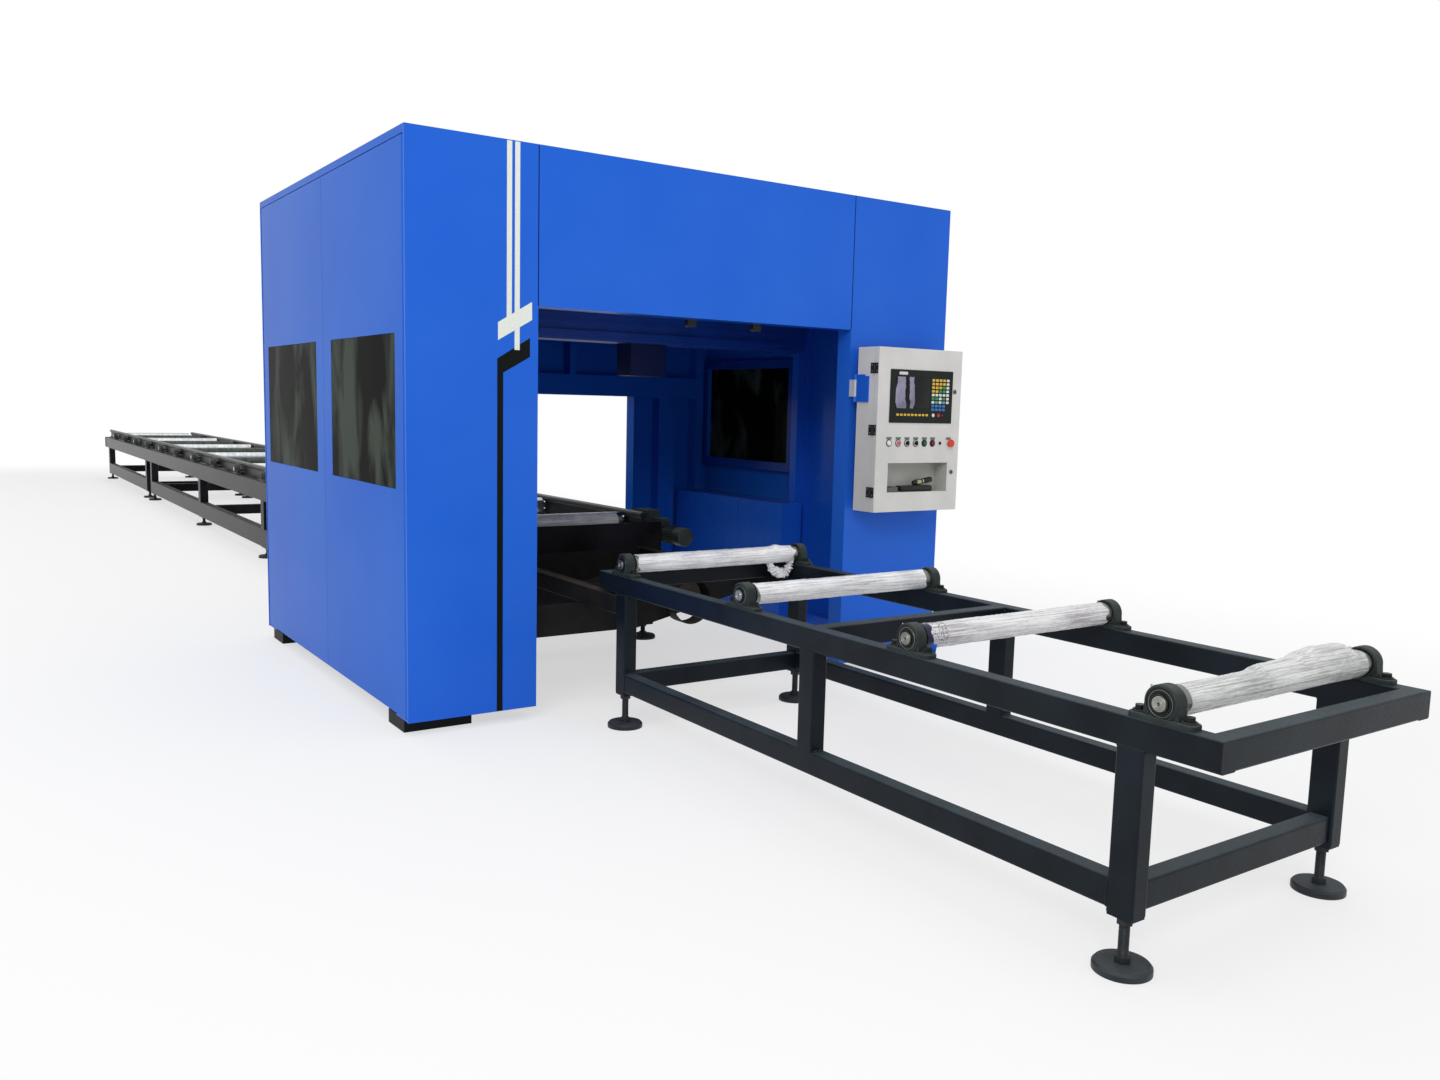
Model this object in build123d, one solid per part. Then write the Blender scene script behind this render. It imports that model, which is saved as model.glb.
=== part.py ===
import os
from math import acos, atan2, cos, hypot, sin, sqrt

from build123d import *

os.makedirs("parts", exist_ok=True)

# Driving sizes in millimetres: X runs along the feed, +X is the infeed end, Z is up.
cabin_length = 2400.0
cabin_width = 3000.0
cabin_top = 2474.0
base_gap = 60.0
left_column = 580.0
right_column = 670.0
front_opening_top = 1805.0
back_column = 613.0
back_opening_top = 1450.0
back_beam_height = 136.0
wall_depth = 100.0
wall_rib = 60.0
wall_side_gap = 10.0
column_bays = 3
skin = 4.0
front_lip = 12.0
seam_width = 3.0
seam_depth = 2.0
roof_ribs = 4
roof_rib_width = 40.0
roof_rib_height = 46.0
skirt = 34.0

# Posts of the back wall, as shares of its column and of half its opening.
back_post_start = 0.33
back_post_end = 0.54
upper_post_start = 0.45
upper_post_end = 0.50

# Side doors and windows.
leaf_thick = 40.0
leaf_gap = 2.0
leaf_end_gap = 4.0
leaf_seam = 3.0
door_split = 1170.0
leaf_border = 40.0
window_bottom = 1028.0
window_top = 1668.0
window_free_margin = 125.0
window_hinge_margin = 95.0
window_lip = 15.0
pane_thick = 7.0
pane_gap = 1.0
pivot_r = 8.0
pivot_fit = 0.1
pivot_plate = 8.0
pivot_plate_tail = 60.0
pivot_plate_nose = 15.0
fixed_panel_gap = 2.0

# Square tube of the cabin frame, its feet and the duct box on the right wall.
post = 60.0
post_wall = 4.0
rail_gap = 8.0
foot_x = 200.0
foot_y = 300.0
foot_recess = 80.0
foot_inset = 10.0
duct_top = 810.0
duct_depth = 150.0
duct_start = 1070.0
duct_seam_share = 0.62
duct_seam = 6.0

# Rollers and their bearings, the same on both conveyors.
line_y = -160.0
pass_height = 752.0
shaft_r = 20.0
shaft_fit = 0.05
shaft_chamfer = 1.5
shaft_centre_r = 4.0
shaft_centre_depth = 6.0
roller_wall = 6.0
roller_disc = 12.0
roller_vent_r = 5.0
block_height = 49.0
block_length = 184.0
block_width = 50.0
block_end_r = 16.0
block_ring = 47.0
ring_width = 44.0
ring_bevel = 4.0
neck_width = 34.0
block_shoulder = 50.0
block_foot = 18.0
block_boss = 4.0
block_boss_r = 19.0
foot_bevel = 2.5
seal_outer_r = 40.0
seal_inner_r = 28.5
seal_depth = 2.5
bolt_spacing = 137.0
bolt_flats = 24.0
bolt_head = 12.0
bolt_chamfer = 1.2
washer_r = 15.0
washer_thick = 2.5

# Infeed table.
infeed_gap = 92.0
infeed_length = 3000.0
infeed_width = 1000.0
infeed_tube = 60.0
infeed_depth = 80.0
infeed_wall = 5.0
infeed_corner = 7.0
weld_lap = 0.5
infeed_roller_r = 38.0
infeed_rollers = 4
infeed_first = 185.0
infeed_pitch = 880.0
infeed_shell_gap = 2.0
infeed_shaft_inset = 2.0
infeed_far_leg = 195.0
infeed_near_leg = 246.0
infeed_leg = 80.0
infeed_leg_bottom = 150.0
infeed_low_rail = 160.0
cap_plate = 8.0
cap_inset = 3.0

# Outfeed conveyor.
outfeed_start = 1200.0
outfeed_joint = 12270.0
outfeed_reach = 16650.0
outfeed_width = 1220.0
outfeed_tube = 80.0
outfeed_depth = 160.0
outfeed_wall = 6.0
outfeed_corner = 10.0
outfeed_roller_r = 51.0
outfeed_rollers = 14
outfeed_first = 290.0
outfeed_last = 990.0
outfeed_shaft_inset = 10.0
drive_reach = 95.0
outfeed_leg = 120.0
outfeed_low = 90.0
cross_depth = 100.0
cross_lift = 20.0
first_leg = 130.0
middle_leg = 1750.0
middle_leg_pitch = 2840.0
middle_legs = 3
leg_before_joint = 360.0
leg_after_joint = 70.0
last_leg = 480.0
frame_joint_gap = 2.0
end_plate = 8.0
end_plate_rise = 64.0
end_plate_drop = 20.0

# Side guides of the outfeed.
guide_gap = 10.0
guide_web = 10.0
guide_tube_r = 22.0
guide_top = 772.0
guide_lift = 6.0
guide_rib = 10.0
guide_far_end = 10.0
guide_near_end = 50.0
guide_right_short = 1090.0
guide_hole_r = 30.0
guide_tab = 80.0
guide_tab_drop = 50.0
roller_end_gap = 5.0

# Levelling feet.
pad_r = 76.0
pad_thick = 22.0
pad_rim = 15.0
pad_bevel = 6.0
stem_r = 13.0
stem_fit = 1.0
stem_rise = 40.0
nut_flats = 38.0
nut_height = 18.0

# Gearmotor of the first outfeed roller.
gear_length = 160.0
gear_width = 110.0
gear_rise = 62.0
gear_drop = 130.0
gear_round = 18.0
gear_stand = 5.0
gear_foot = 120.0
gear_foot_top = 55.0
gear_hub_r = 36.0
gear_hub = 8.0
motor_drop = 64.0
motor_r = 54.0
motor_length = 300.0
flange_thick = 16.0
flange_rim = 6.0
fins = 20
fin_thick = 3.0
fin_height = 8.0
fin_end_gap = 10.0
cowl_length = 70.0
cowl_round = 8.0
cowl_recess = 4.0
cowl_rim = 12.0
terminal_start = 60.0
terminal_length = 100.0
terminal_width = 68.0
terminal_height = 34.0
terminal_root = 20.0
terminal_round = 6.0
gland_r = 9.0
gland_length = 16.0

# Cutting head.
beam_bottom = 1740.0
beam_size = 200.0
beam_wall = 8.0
beam_corner = 12.0
beam_front = 1100.0
beam_end_gap = 160.0
slide_bar = 22.0
slide_height = 20.0
slide_fit = 0.4
slide_inset = 41.0
rack_height = 16.0
rack_thick = 6.0
terminal_box_y = 295.0
terminal_box_width = 230.0
terminal_box_drop = 180.0
terminal_box_margin = 20.0
carriage_y = -950.0
carriage_half = 170.0
carriage_plate = 22.0
carriage_low = 1700.0
carriage_high = 2000.0
runner_gap = 4.0
runner_offset = 115.0
runner_length = 70.0
runner_height = 52.0
plate_gap = 8.0
ram_runner_width = 52.0
ram_runner_height = 80.0
ram_runner_inset = 60.0
servo_width = 90.0
servo_gap = 60.0
servo_low = 50.0
servo_height = 160.0
servo_cap = 40.0
servo_cap_r = 36.0
valve_depth = 60.0
valve_start = 150.0
valve_end = 80.0
valve_inset = 40.0
ram_size = 120.0
ram_wall = 8.0
ram_corner = 12.0
ram_low = 1480.0
ram_high = 2335.0
ram_floor = 30.0
ram_bar_low = 20.0
ram_bar_high = 5.0
swivel_r = 55.0
swivel_disc = 38.0
swivel_gap = 2.0
swivel_shaft_top = 12.0
cheek_gap = 8.0
cheek_thick = 12.0
cheek_half = 26.0
tilt_z = 1350.0
tilt_pin_r = 8.0
clamp_half = 32.0
clamp_height = 28.0
clamp_gap = 1.0
torch_r = 24.0
torch_rise = 55.0
torch_tip = 1200.0
nozzle_length = 40.0
nozzle_r = 9.0

# Slag tray below the cut.
tray_rail_top = 573.0
tray_wall = 6.0
tray_start = 100.0
tray_end = 1150.0
tray_low = 345.0
tray_high = 480.0
tray_flat = 250.0
fume_r = 110.0
fume_wall = 5.0
fume_reach = 80.0
fume_y = -90.0
apron_height = 145.0

# Control box on its swing bracket.
box_inset = 665.0
box_width = 583.0
box_low = 884.0
box_high = 1716.0
box_stand = 60.0
box_depth = 128.0
box_sheet = 3.0
box_round = 2.0
box_rim = 20.0
box_gasket = 2.0
door_thick = 28.0
swing_x = 48.0
swing_gap = 3.0
swing_low = 1440.0
swing_high = 1578.0
swing_r = 11.0
swing_pin_r = 6.0
swing_fit = 0.1
arm_width = 60.0
arm_relief = 3.0
knuckle = 24.0
knuckle_gap = 2.0
bracket_thick = 8.0
bracket_reach = 90.0
bracket_root = 60.0
bracket_clear = 1.0
door_axis_x = 189.0
door_axis_gap = 6.5
door_hinge_r = 5.0
door_hinge_pin = 2.5
door_hinges = (1610.0, 1300.0, 985.0)
hinge_leaf = 4.0
hinge_web = 2.0
hinge_half = 26.0
hinge_middle = 9.0
hinge_step = 10.0
hinge_end = 16.0
hinge_box_leaf = 30.0
hinge_door_leaf = 24.0
hinge_root = 12.0

# Control unit, pocket and drives.
screen_low = 1339.0
screen_high = 1608.0
screen_left = 79.0
screen_width = 437.0
unit_plate = 4.0
unit_lap = 16.0
unit_gap = 2.0
unit_case = 75.0
glass_left = 36.0
glass_width = 241.0
glass_low = 73.0
glass_top = 35.0
glass_depth = 2.0
pocket_left = 85.0
pocket_width = 421.0
pocket_low = 984.0
pocket_high = 1134.0
pocket_depth = 95.0
pocket_sheet = 2.0
drive_margin = 30.0
drive_lift = 36.0
drive_sheet = 3.0
drive_starts = (60.0, 140.0, 220.0, 300.0)
drive_width = 55.0
drive_deep = 48.0
drive_low = 300.0
drive_high = 470.0
supply_start = 400.0
supply_end = 500.0
supply_deep = 40.0
supply_low = 310.0
supply_high = 450.0
rail_start = 60.0
rail_end = 80.0
clip_rail = (520.0, 555.0, 12.0)
wire_duct = (225.0, 265.0, 30.0)
terminal_strip_start = 80.0
terminal_strip_end = 140.0
terminal_strip = (600.0, 680.0, 34.0)

# Buttons and locks on the door.
button_row = 1236.0
button_offsets = (85.0, 148.0, 209.0, 270.0, 332.0, 390.0, 513.0)
button_r = 10.8
button_gap = 0.4
button_stem = 16.0
button_proud = 8.0
button_round = 1.5
bezel_r = 15.0
bezel_height = 4.0
bezel_chamfer = 1.0
port_offset = 444.0
port_r = 8.5
port_height = 3.0
knob_height = 7.0
grip_height = 10.0
grip_half = 3.5
grip_reach = 10.0
grip_round = 2.0
stop_r = 20.0
stop_collar = 2.0
stop_collar_r = 18.0
stop_neck = 9.0
stop_head = 13.0
stop_round = 5.0
lock_offset = 48.0
lock_levels = (1504.0, 1084.0)
lock_r = 7.8
lock_fit = 0.2
lock_head_r = 11.0
lock_head = 5.0
lock_round = 1.0
lock_slot = 3.0
lock_slot_depth = 2.0
lock_slot_reach = 7.0
cam_back = 10.0
cam_thick = 4.0
cam_half = 8.0
cam_length = 40.0

# Cutting bodies run this far past the faces that they cut.
over = 1.0

half = cabin_width / 2
front_x = (outfeed_reach - infeed_gap - infeed_length) / 2
back_x = front_x - cabin_length
wall_top = cabin_top - skin
wall_side = half - leaf_thick - wall_side_gap
rail_out = half - leaf_thick - rail_gap
rail_in = rail_out - post
frame_front = front_x - wall_depth
frame_back = back_x + wall_depth
leaf_low = base_gap + pivot_plate + leaf_end_gap
leaf_high = cabin_top - skirt - leaf_end_gap
open_left = -half + left_column
open_right = half - right_column
beam_top = beam_bottom + beam_size
infeed_axis = pass_height - infeed_roller_r
infeed_rail = infeed_axis - block_height
outfeed_axis = pass_height - outfeed_roller_r
outfeed_rail = outfeed_axis - block_height
outfeed_run = outfeed_reach - outfeed_last - outfeed_start - outfeed_first
outfeed_pitch = outfeed_run / (outfeed_rollers - 1)
box_y = half - box_inset
swing_y = box_y - swing_gap
door_axis_y = box_y - door_axis_gap


def block(x0, x1, y0, y1, z0, z1):
    """Box between two opposite corners."""
    body = Box(x1 - x0, y1 - y0, z1 - z0)
    return Pos((x0 + x1) / 2, (y0 + y1) / 2, (z0 + z1) / 2) * body


def bar_x(x0, x1, y, z, r):
    """Round bar along X."""
    return Pos((x0 + x1) / 2, y, z) * Rot(0, 90, 0) * Cylinder(r, x1 - x0)


def bar_y(x, y0, y1, z, r):
    """Round bar along Y."""
    return Pos(x, (y0 + y1) / 2, z) * Rot(90, 0, 0) * Cylinder(r, y1 - y0)


def bar_z(x, y, z0, z1, r):
    """Round bar along Z."""
    return Pos(x, y, (z0 + z1) / 2) * Cylinder(r, z1 - z0)


def hex_z(x, y, z0, z1, flats):
    """Hexagonal bar along Z, measured across its flats."""
    outline = RegularPolygon(flats / 2, 6, major_radius=False)
    return extrude(Pos(x, y, z0) * outline, z1 - z0)


def sided(side, y0, y1):
    """The Y range y0 to y1 on the left (side -1) or the right (side 1)."""
    return min(side * y0, side * y1), max(side * y0, side * y1)


def tube(limits, run, corner):
    """Outer body of a rectangular tube along run (0, 1, 2), its four long edges rounded."""
    body = block(*limits)
    if not corner:
        return body
    return fillet(body.edges().filter_by((Axis.X, Axis.Y, Axis.Z)[run]), corner)


def welded(tubes, wall, corner=0.0):
    """Weld rectangular tubes; each is six limits, its run and which of its ends meet a neighbour.

    An end that meets a neighbour runs on past the neighbour's rounded corner, so the joint closes.
    """
    outers = []
    inners = []
    for limits, run, joined in tubes:
        outer = list(limits)
        inner = list(limits)
        for axis in range(3):
            for end in (0, 1):
                outward = 2 * end - 1
                meets = axis == run and joined[end]
                inner[2 * axis + end] += outward * (wall + over if meets else -wall)
                if meets and corner:
                    outer[2 * axis + end] += outward * (corner + weld_lap)
        outers.append(tube(outer, run, corner))
        inners.append(block(*inner))
    return outers[0] + outers[1:] - inners


nodes = {}

# Cabin front: one folded wall with two columns and a header, hollowed from behind between ribs.
front_wall = block(front_x - front_lip, front_x, -half, half, base_gap, wall_top)
front_wall += block(frame_front, front_x, -wall_side, wall_side, base_gap, wall_top)
cut_x = (frame_front - over, front_x + over)
front_wall -= block(*cut_x, open_left, open_right, base_gap - over, front_opening_top)
bay = (wall_top - base_gap) / column_bays
cell_x = (frame_front - over, front_x - skin)
front_cells = []
for y0, y1 in ((-wall_side, open_left), (open_right, wall_side)):
    for level in range(column_bays):
        z0 = base_gap + bay * level + wall_rib
        z1 = base_gap + bay * (level + 1) - wall_rib
        front_cells.append(block(*cell_x, y0 + wall_rib, y1 - wall_rib, z0, z1))
header_z = (front_opening_top + wall_rib, wall_top - wall_rib)
front_cells.append(block(*cell_x, open_left + skin, open_right - skin, *header_z))
seam_x = (front_x - seam_depth, front_x + over)
for y in (open_left, open_right):
    seam_y = (y - seam_width / 2, y + seam_width / 2)
    front_cells.append(block(*seam_x, *seam_y, front_opening_top - over, wall_top + over))
nodes["cabin_front"] = front_wall - front_cells

# Cabin back: a lower opening under a deep cross beam, posts left standing between the cells.
back_open = half - back_column
back_wall = block(back_x, back_x + front_lip, -half, half, base_gap, wall_top)
back_wall += block(back_x, frame_back, -wall_side, wall_side, base_gap, wall_top)
cut_x = (back_x - over, frame_back + over)
back_wall -= block(*cut_x, -back_open, back_open, base_gap - over, back_opening_top)
beam_line = back_opening_top + back_beam_height
cell_x = (back_x + skin, frame_back + over)
back_cells = []
for side in (-1, 1):
    inner_cell = sided(side, back_open + skin, back_open + back_column * back_post_start)
    outer_cell = sided(side, back_open + back_column * back_post_end, wall_side - wall_rib)
    for y0, y1 in (inner_cell, outer_cell):
        back_cells.append(block(*cell_x, y0, y1, base_gap + wall_rib, back_opening_top - skin))
    y0, y1 = sided(side, back_open * upper_post_end, wall_side - wall_rib)
    back_cells.append(block(*cell_x, y0, y1, beam_line, wall_top - wall_rib))
middle_cell = back_open * upper_post_start
back_cells.append(block(*cell_x, -middle_cell, middle_cell, beam_line, wall_top - wall_rib))
beam_x = (back_x + skin, frame_back - skin)
beam_z = (back_opening_top - over, beam_line - skin)
back_cells.append(block(*beam_x, -back_open + skin, back_open - skin, *beam_z))
nodes["cabin_back"] = back_wall - back_cells

# Roof sheet with side skirts and cross ribs.
roof = block(back_x, front_x, -half, half, wall_top, cabin_top)
roof_parts = []
for side in (-1, 1):
    y0, y1 = sided(side, half - skin, half)
    skirt_x = (back_x + front_lip, front_x - front_lip)
    roof_parts.append(block(*skirt_x, y0, y1, cabin_top - skirt, wall_top))
for rib in range(1, roof_ribs + 1):
    x = frame_back + (frame_front - frame_back) * rib / (roof_ribs + 1)
    rib_x = (x - roof_rib_width / 2, x + roof_rib_width / 2)
    roof_parts.append(block(*rib_x, -rail_in, rail_in, wall_top - roof_rib_height, wall_top))
nodes["cabin_roof"] = roof + roof_parts

# Side frames: rails, middle post, pivot plates for the leaves and the black floor feet.
hinge_front = front_x - front_lip - leaf_gap - leaf_thick / 2
hinge_back = back_x + front_lip + leaf_gap + leaf_thick / 2
post_x = front_x - door_split
both = (True, True)


def side_frame(side, hinges):
    """Rails, post, pivot plates and feet of one side of the cabin."""
    y0, y1 = sided(side, rail_in, rail_out)
    post_limits = (post_x - post / 2, post_x + post / 2, y0, y1, base_gap + post, wall_top - post)
    tubes = [
        ((frame_back, frame_front, y0, y1, base_gap, base_gap + post), 0, both),
        ((frame_back, frame_front, y0, y1, wall_top - post, wall_top), 0, both),
        (post_limits, 2, both),
    ]
    frame = welded(tubes, post_wall)
    extra = []
    holes = []
    plate_y = sided(side, rail_out, half - skin)
    for x in hinges:
        # Each plate reaches from the rail behind the wall rib out under the pivot.
        tail_x = frame_front - pivot_plate_tail if x > post_x else frame_back + pivot_plate_tail
        nose_x = x + pivot_plate_nose if x > post_x else x - pivot_plate_nose
        plate_x = (min(tail_x, nose_x), max(tail_x, nose_x))
        pivot_y = side * (half - leaf_thick / 2)
        for z0 in (base_gap, cabin_top - skirt):
            z1 = z0 + pivot_plate
            extra.append(block(*plate_x, *plate_y, z0, z1))
            holes.append(bar_z(x, pivot_y, z0 - over, z1 + over, pivot_r + pivot_fit))
    foot_side = sided(side, half - foot_inset - foot_y, half - foot_inset)
    front_foot = front_x - foot_recess
    back_foot = back_x + foot_recess
    extra.append(block(front_foot - foot_x, front_foot, *foot_side, 0, base_gap))
    extra.append(block(back_foot, back_foot + foot_x, *foot_side, 0, base_gap))
    return frame + extra - holes


nodes["side_frame_left"] = side_frame(-1, (hinge_front, hinge_back))
right_frame = side_frame(1, (hinge_back,))
fixed_low = base_gap + fixed_panel_gap
fixed_high = cabin_top - skirt - fixed_panel_gap
fixed_x0 = post_x + leaf_seam / 2
fixed_x1 = front_x - front_lip - leaf_gap
fixed = block(fixed_x0, fixed_x1, rail_out, half, fixed_low, fixed_high)
hollow_x = (fixed_x0 + leaf_border, fixed_x1 - leaf_border)
hollow_z = (fixed_low + leaf_border, fixed_high - leaf_border)
fixed -= block(*hollow_x, rail_out - over, half - skin, *hollow_z)
duct_x1 = front_x - duct_start
duct_y0 = rail_in - duct_depth
duct = block(frame_back, duct_x1, duct_y0, rail_in, base_gap, duct_top)
hollow_x = (frame_back + skin, duct_x1 - skin)
duct -= block(*hollow_x, duct_y0 + skin, rail_in + over, base_gap + skin, duct_top - skin)
mouth_x = frame_back + (duct_x1 - frame_back) * duct_seam_share
mouth_span = (mouth_x - duct_seam / 2, mouth_x + duct_seam / 2)
duct -= block(*mouth_span, duct_y0 - over, duct_y0 + seam_depth, base_gap - over, duct_top + over)
nodes["side_frame_right"] = right_frame + [fixed, duct]


def window(hinge_x, free_x):
    """X limits of a leaf's window."""
    sign = 1 if hinge_x > free_x else -1
    ends = (free_x + sign * window_free_margin, hinge_x - sign * window_hinge_margin)
    return min(ends), max(ends)


def leaf(side, hinge_x, free_x):
    """Door leaf on two pivots: rounded at the pivot edge, hollowed from inside, with a window."""
    y0, y1 = sided(side, half - leaf_thick, half)
    pivot_y = side * (half - leaf_thick / 2)
    x0 = min(hinge_x, free_x)
    x1 = max(hinge_x, free_x)
    body = block(x0, x1, y0, y1, leaf_low, leaf_high)
    body += bar_z(hinge_x, pivot_y, leaf_low, leaf_high, leaf_thick / 2)
    cell = (x0 + leaf_border, x1 - leaf_border, *sided(side, half - leaf_thick - over, half - skin))
    w0, w1 = window(hinge_x, free_x)
    seat_y = sided(side, half - pane_thick - pane_gap, half + over)
    through_y = sided(side, half - leaf_thick - over, half + over)
    sight_x = (w0 + window_lip, w1 - window_lip)
    sight_z = (window_bottom + window_lip, window_top - window_lip)
    cuts = [
        block(*cell, leaf_low + leaf_border, window_bottom - leaf_border),
        block(*cell, window_top + leaf_border, leaf_high - leaf_border),
        block(w0, w1, *seat_y, window_bottom, window_top),
        block(*sight_x, *through_y, *sight_z),
    ]
    body -= cuts
    body += bar_z(hinge_x, pivot_y, leaf_high, cabin_top - skirt + pivot_plate, pivot_r)
    body += bar_z(hinge_x, pivot_y, base_gap, leaf_low, pivot_r)
    return body


def pane(side, hinge_x, free_x):
    """Glass seated against the rebate, a small gap round it."""
    w0, w1 = window(hinge_x, free_x)
    y0, y1 = sided(side, half - pane_thick - pane_gap, half - pane_gap)
    pane_z = (window_bottom + pane_gap, window_top - pane_gap)
    return block(w0 + pane_gap, w1 - pane_gap, y0, y1, *pane_z)


free_front = post_x + leaf_seam / 2
free_back = post_x - leaf_seam / 2
nodes["door_left_front"] = leaf(-1, hinge_front, free_front)
nodes["door_left_back"] = leaf(-1, hinge_back, free_back)
nodes["door_right_back"] = leaf(1, hinge_back, free_back)
nodes["pane_left_front"] = pane(-1, hinge_front, free_front)
nodes["pane_left_back"] = pane(-1, hinge_back, free_back)
nodes["pane_right_back"] = pane(1, hinge_back, free_back)

# Infeed table: one welded tube frame on four corner legs, two middle legs stand on the low rails.
table_x0 = front_x + infeed_gap
table_x1 = table_x0 + infeed_length
in_y0 = line_y - infeed_width / 2
in_y1 = line_y + infeed_width / 2
rail_low = infeed_rail - infeed_depth
far_leg_x = table_x0 + infeed_far_leg
near_leg_x = table_x1 - infeed_near_leg
middle_x = (far_leg_x + near_leg_x) / 2
low_z = (infeed_low_rail, infeed_low_rail + infeed_depth)
infeed = []
for y0 in (in_y0, in_y1 - infeed_tube):
    y1 = y0 + infeed_tube
    infeed.append(((table_x0, table_x1, y0, y1, rail_low, infeed_rail), 0, (False, False)))
    for x in (far_leg_x, near_leg_x):
        leg_x = (x - infeed_leg / 2, x + infeed_leg / 2)
        infeed.append(((*leg_x, y0, y1, infeed_leg_bottom, rail_low), 2, (False, True)))
    leg_x = (middle_x - infeed_leg / 2, middle_x + infeed_leg / 2)
    infeed.append(((*leg_x, y0, y1, low_z[1], rail_low), 2, both))
    low_x = (far_leg_x + infeed_leg / 2, near_leg_x - infeed_leg / 2)
    infeed.append(((*low_x, y0, y1, *low_z), 0, both))
cross = (in_y0 + infeed_tube, in_y1 - infeed_tube)
for x in (table_x0 + infeed_tube / 2, middle_x, table_x1 - infeed_tube / 2):
    cross_x = (x - infeed_tube / 2, x + infeed_tube / 2)
    infeed.append(((*cross_x, *cross, rail_low, infeed_rail), 1, both))
for x in (far_leg_x, near_leg_x):
    cross_x = (x - infeed_tube / 2, x + infeed_tube / 2)
    infeed.append(((*cross_x, *cross, *low_z), 1, both))
infeed_frame = welded(infeed, infeed_wall, infeed_corner)
feet_at = []
caps = []
cap_holes = []
cap_low = infeed_leg_bottom - cap_plate
cap_x = infeed_leg / 2 - cap_inset
cap_y = infeed_tube / 2 - cap_inset
for x in (far_leg_x, near_leg_x):
    for y in (in_y0 + infeed_tube / 2, in_y1 - infeed_tube / 2):
        cap_limits = (x - cap_x, x + cap_x, y - cap_y, y + cap_y, cap_low, infeed_leg_bottom)
        caps.append(block(*cap_limits))
        hole_top = infeed_leg_bottom + infeed_wall + over
        cap_holes.append(bar_z(x, y, cap_low - over, hole_top, stem_r + stem_fit))
        feet_at.append((x, y, cap_low))
nodes["infeed_frame"] = infeed_frame + caps - cap_holes

# Outfeed conveyor frames: deep upper and lower rails on wide legs, cross tubes between leg pairs.
out_y0 = line_y - outfeed_width / 2
out_y1 = line_y + outfeed_width / 2
out_low = outfeed_rail - outfeed_depth
out_step = outfeed_low + outfeed_depth


def outfeed_frame(start, end, legs):
    """Welded frame between two distances behind the cabin front."""
    tubes = []
    rail_x = (front_x - end, front_x - start)
    leg_line = sorted(front_x - distance for distance in legs)
    for y0 in (out_y0, out_y1 - outfeed_tube):
        y1 = y0 + outfeed_tube
        tubes.append(((*rail_x, y0, y1, out_low, outfeed_rail), 0, (False, False)))
        for x in leg_line:
            leg_x = (x - outfeed_leg / 2, x + outfeed_leg / 2)
            tubes.append(((*leg_x, y0, y1, outfeed_low, out_low), 2, (False, True)))
        for xa, xb in zip(leg_line[:-1], leg_line[1:]):
            low_x = (xa + outfeed_leg / 2, xb - outfeed_leg / 2)
            tubes.append(((*low_x, y0, y1, outfeed_low, out_step), 0, both))
    cross_low = outfeed_low + cross_lift
    for x in leg_line:
        cross_x = (x - outfeed_tube / 2, x + outfeed_tube / 2)
        cross_y = (out_y0 + outfeed_tube, out_y1 - outfeed_tube)
        tubes.append(((*cross_x, *cross_y, out_low, out_low + cross_depth), 1, both))
        tubes.append(((*cross_x, *cross_y, cross_low, cross_low + cross_depth), 1, both))
    frame = welded(tubes, outfeed_wall, outfeed_corner)
    holes = []
    hole_z = (outfeed_low - over, outfeed_low + outfeed_wall + over)
    for x in leg_line:
        for y in (out_y0 + outfeed_tube / 2, out_y1 - outfeed_tube / 2):
            holes.append(bar_z(x, y, *hole_z, stem_r + stem_fit))
            feet_at.append((x, y, outfeed_low))
    return frame - holes


near_legs = [outfeed_start + first_leg, outfeed_joint - leg_before_joint]
near_legs += [outfeed_start + middle_leg + middle_leg_pitch * n for n in range(middle_legs)]
far_legs = [outfeed_joint + leg_after_joint, outfeed_reach - last_leg]
near_frame = outfeed_frame(outfeed_start + end_plate, outfeed_joint, near_legs)
end_x = front_x - outfeed_start
plate_z = (out_low - end_plate_drop, outfeed_rail + end_plate_rise)
plate = block(end_x - end_plate, end_x, out_y0, out_y1, *plate_z)
nodes["outfeed_frame_near"] = near_frame + plate
nodes["outfeed_frame_far"] = outfeed_frame(outfeed_joint + frame_joint_gap, outfeed_reach, far_legs)

# Side guides: a pierced web with a rib and a round nose, on tabs against the rail.
first_roller = front_x - outfeed_start - outfeed_first
roller_x = [first_roller - outfeed_pitch * n for n in range(outfeed_rollers)]
guide_far = front_x - outfeed_reach + guide_far_end
guide_x1 = end_x - guide_near_end


def guide(side, guide_x0):
    """Side guide of the outfeed on the left (-1) or right (1), reaching back to guide_x0."""
    rail_face = outfeed_width / 2 - outfeed_tube
    web_face = rail_face - guide_gap
    web = sorted((line_y + side * (web_face - guide_web), line_y + side * web_face))
    tab = sorted((line_y + side * web_face, line_y + side * rail_face))
    nose_y = line_y + side * (web_face - guide_web / 2)
    nose_z = guide_top - guide_tube_r
    web_low = outfeed_rail + guide_lift
    tab_low = outfeed_rail - guide_tab_drop
    body = block(guide_x0, guide_x1, *web, web_low, nose_z)
    extra = [bar_x(guide_x0, guide_x1, nose_y, nose_z, guide_tube_r)]
    extra.append(block(guide_x0, guide_x1, *tab, web_low, web_low + guide_rib))
    holes = []
    for x in roller_x:
        if x > guide_x0:
            hole_y = (web[0] - guide_tube_r, web[1] + guide_tube_r)
            holes.append(bar_y(x, *hole_y, outfeed_axis, guide_hole_r))
        tab_x = x - outfeed_pitch / 2
        if tab_x > guide_x0 + guide_tab / 2:
            tab_span = (tab_x - guide_tab / 2, tab_x + guide_tab / 2)
            extra.append(block(*tab_span, *web, tab_low, web_low))
            extra.append(block(*tab_span, *tab, tab_low, web_low))
    return body + extra - holes


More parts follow.
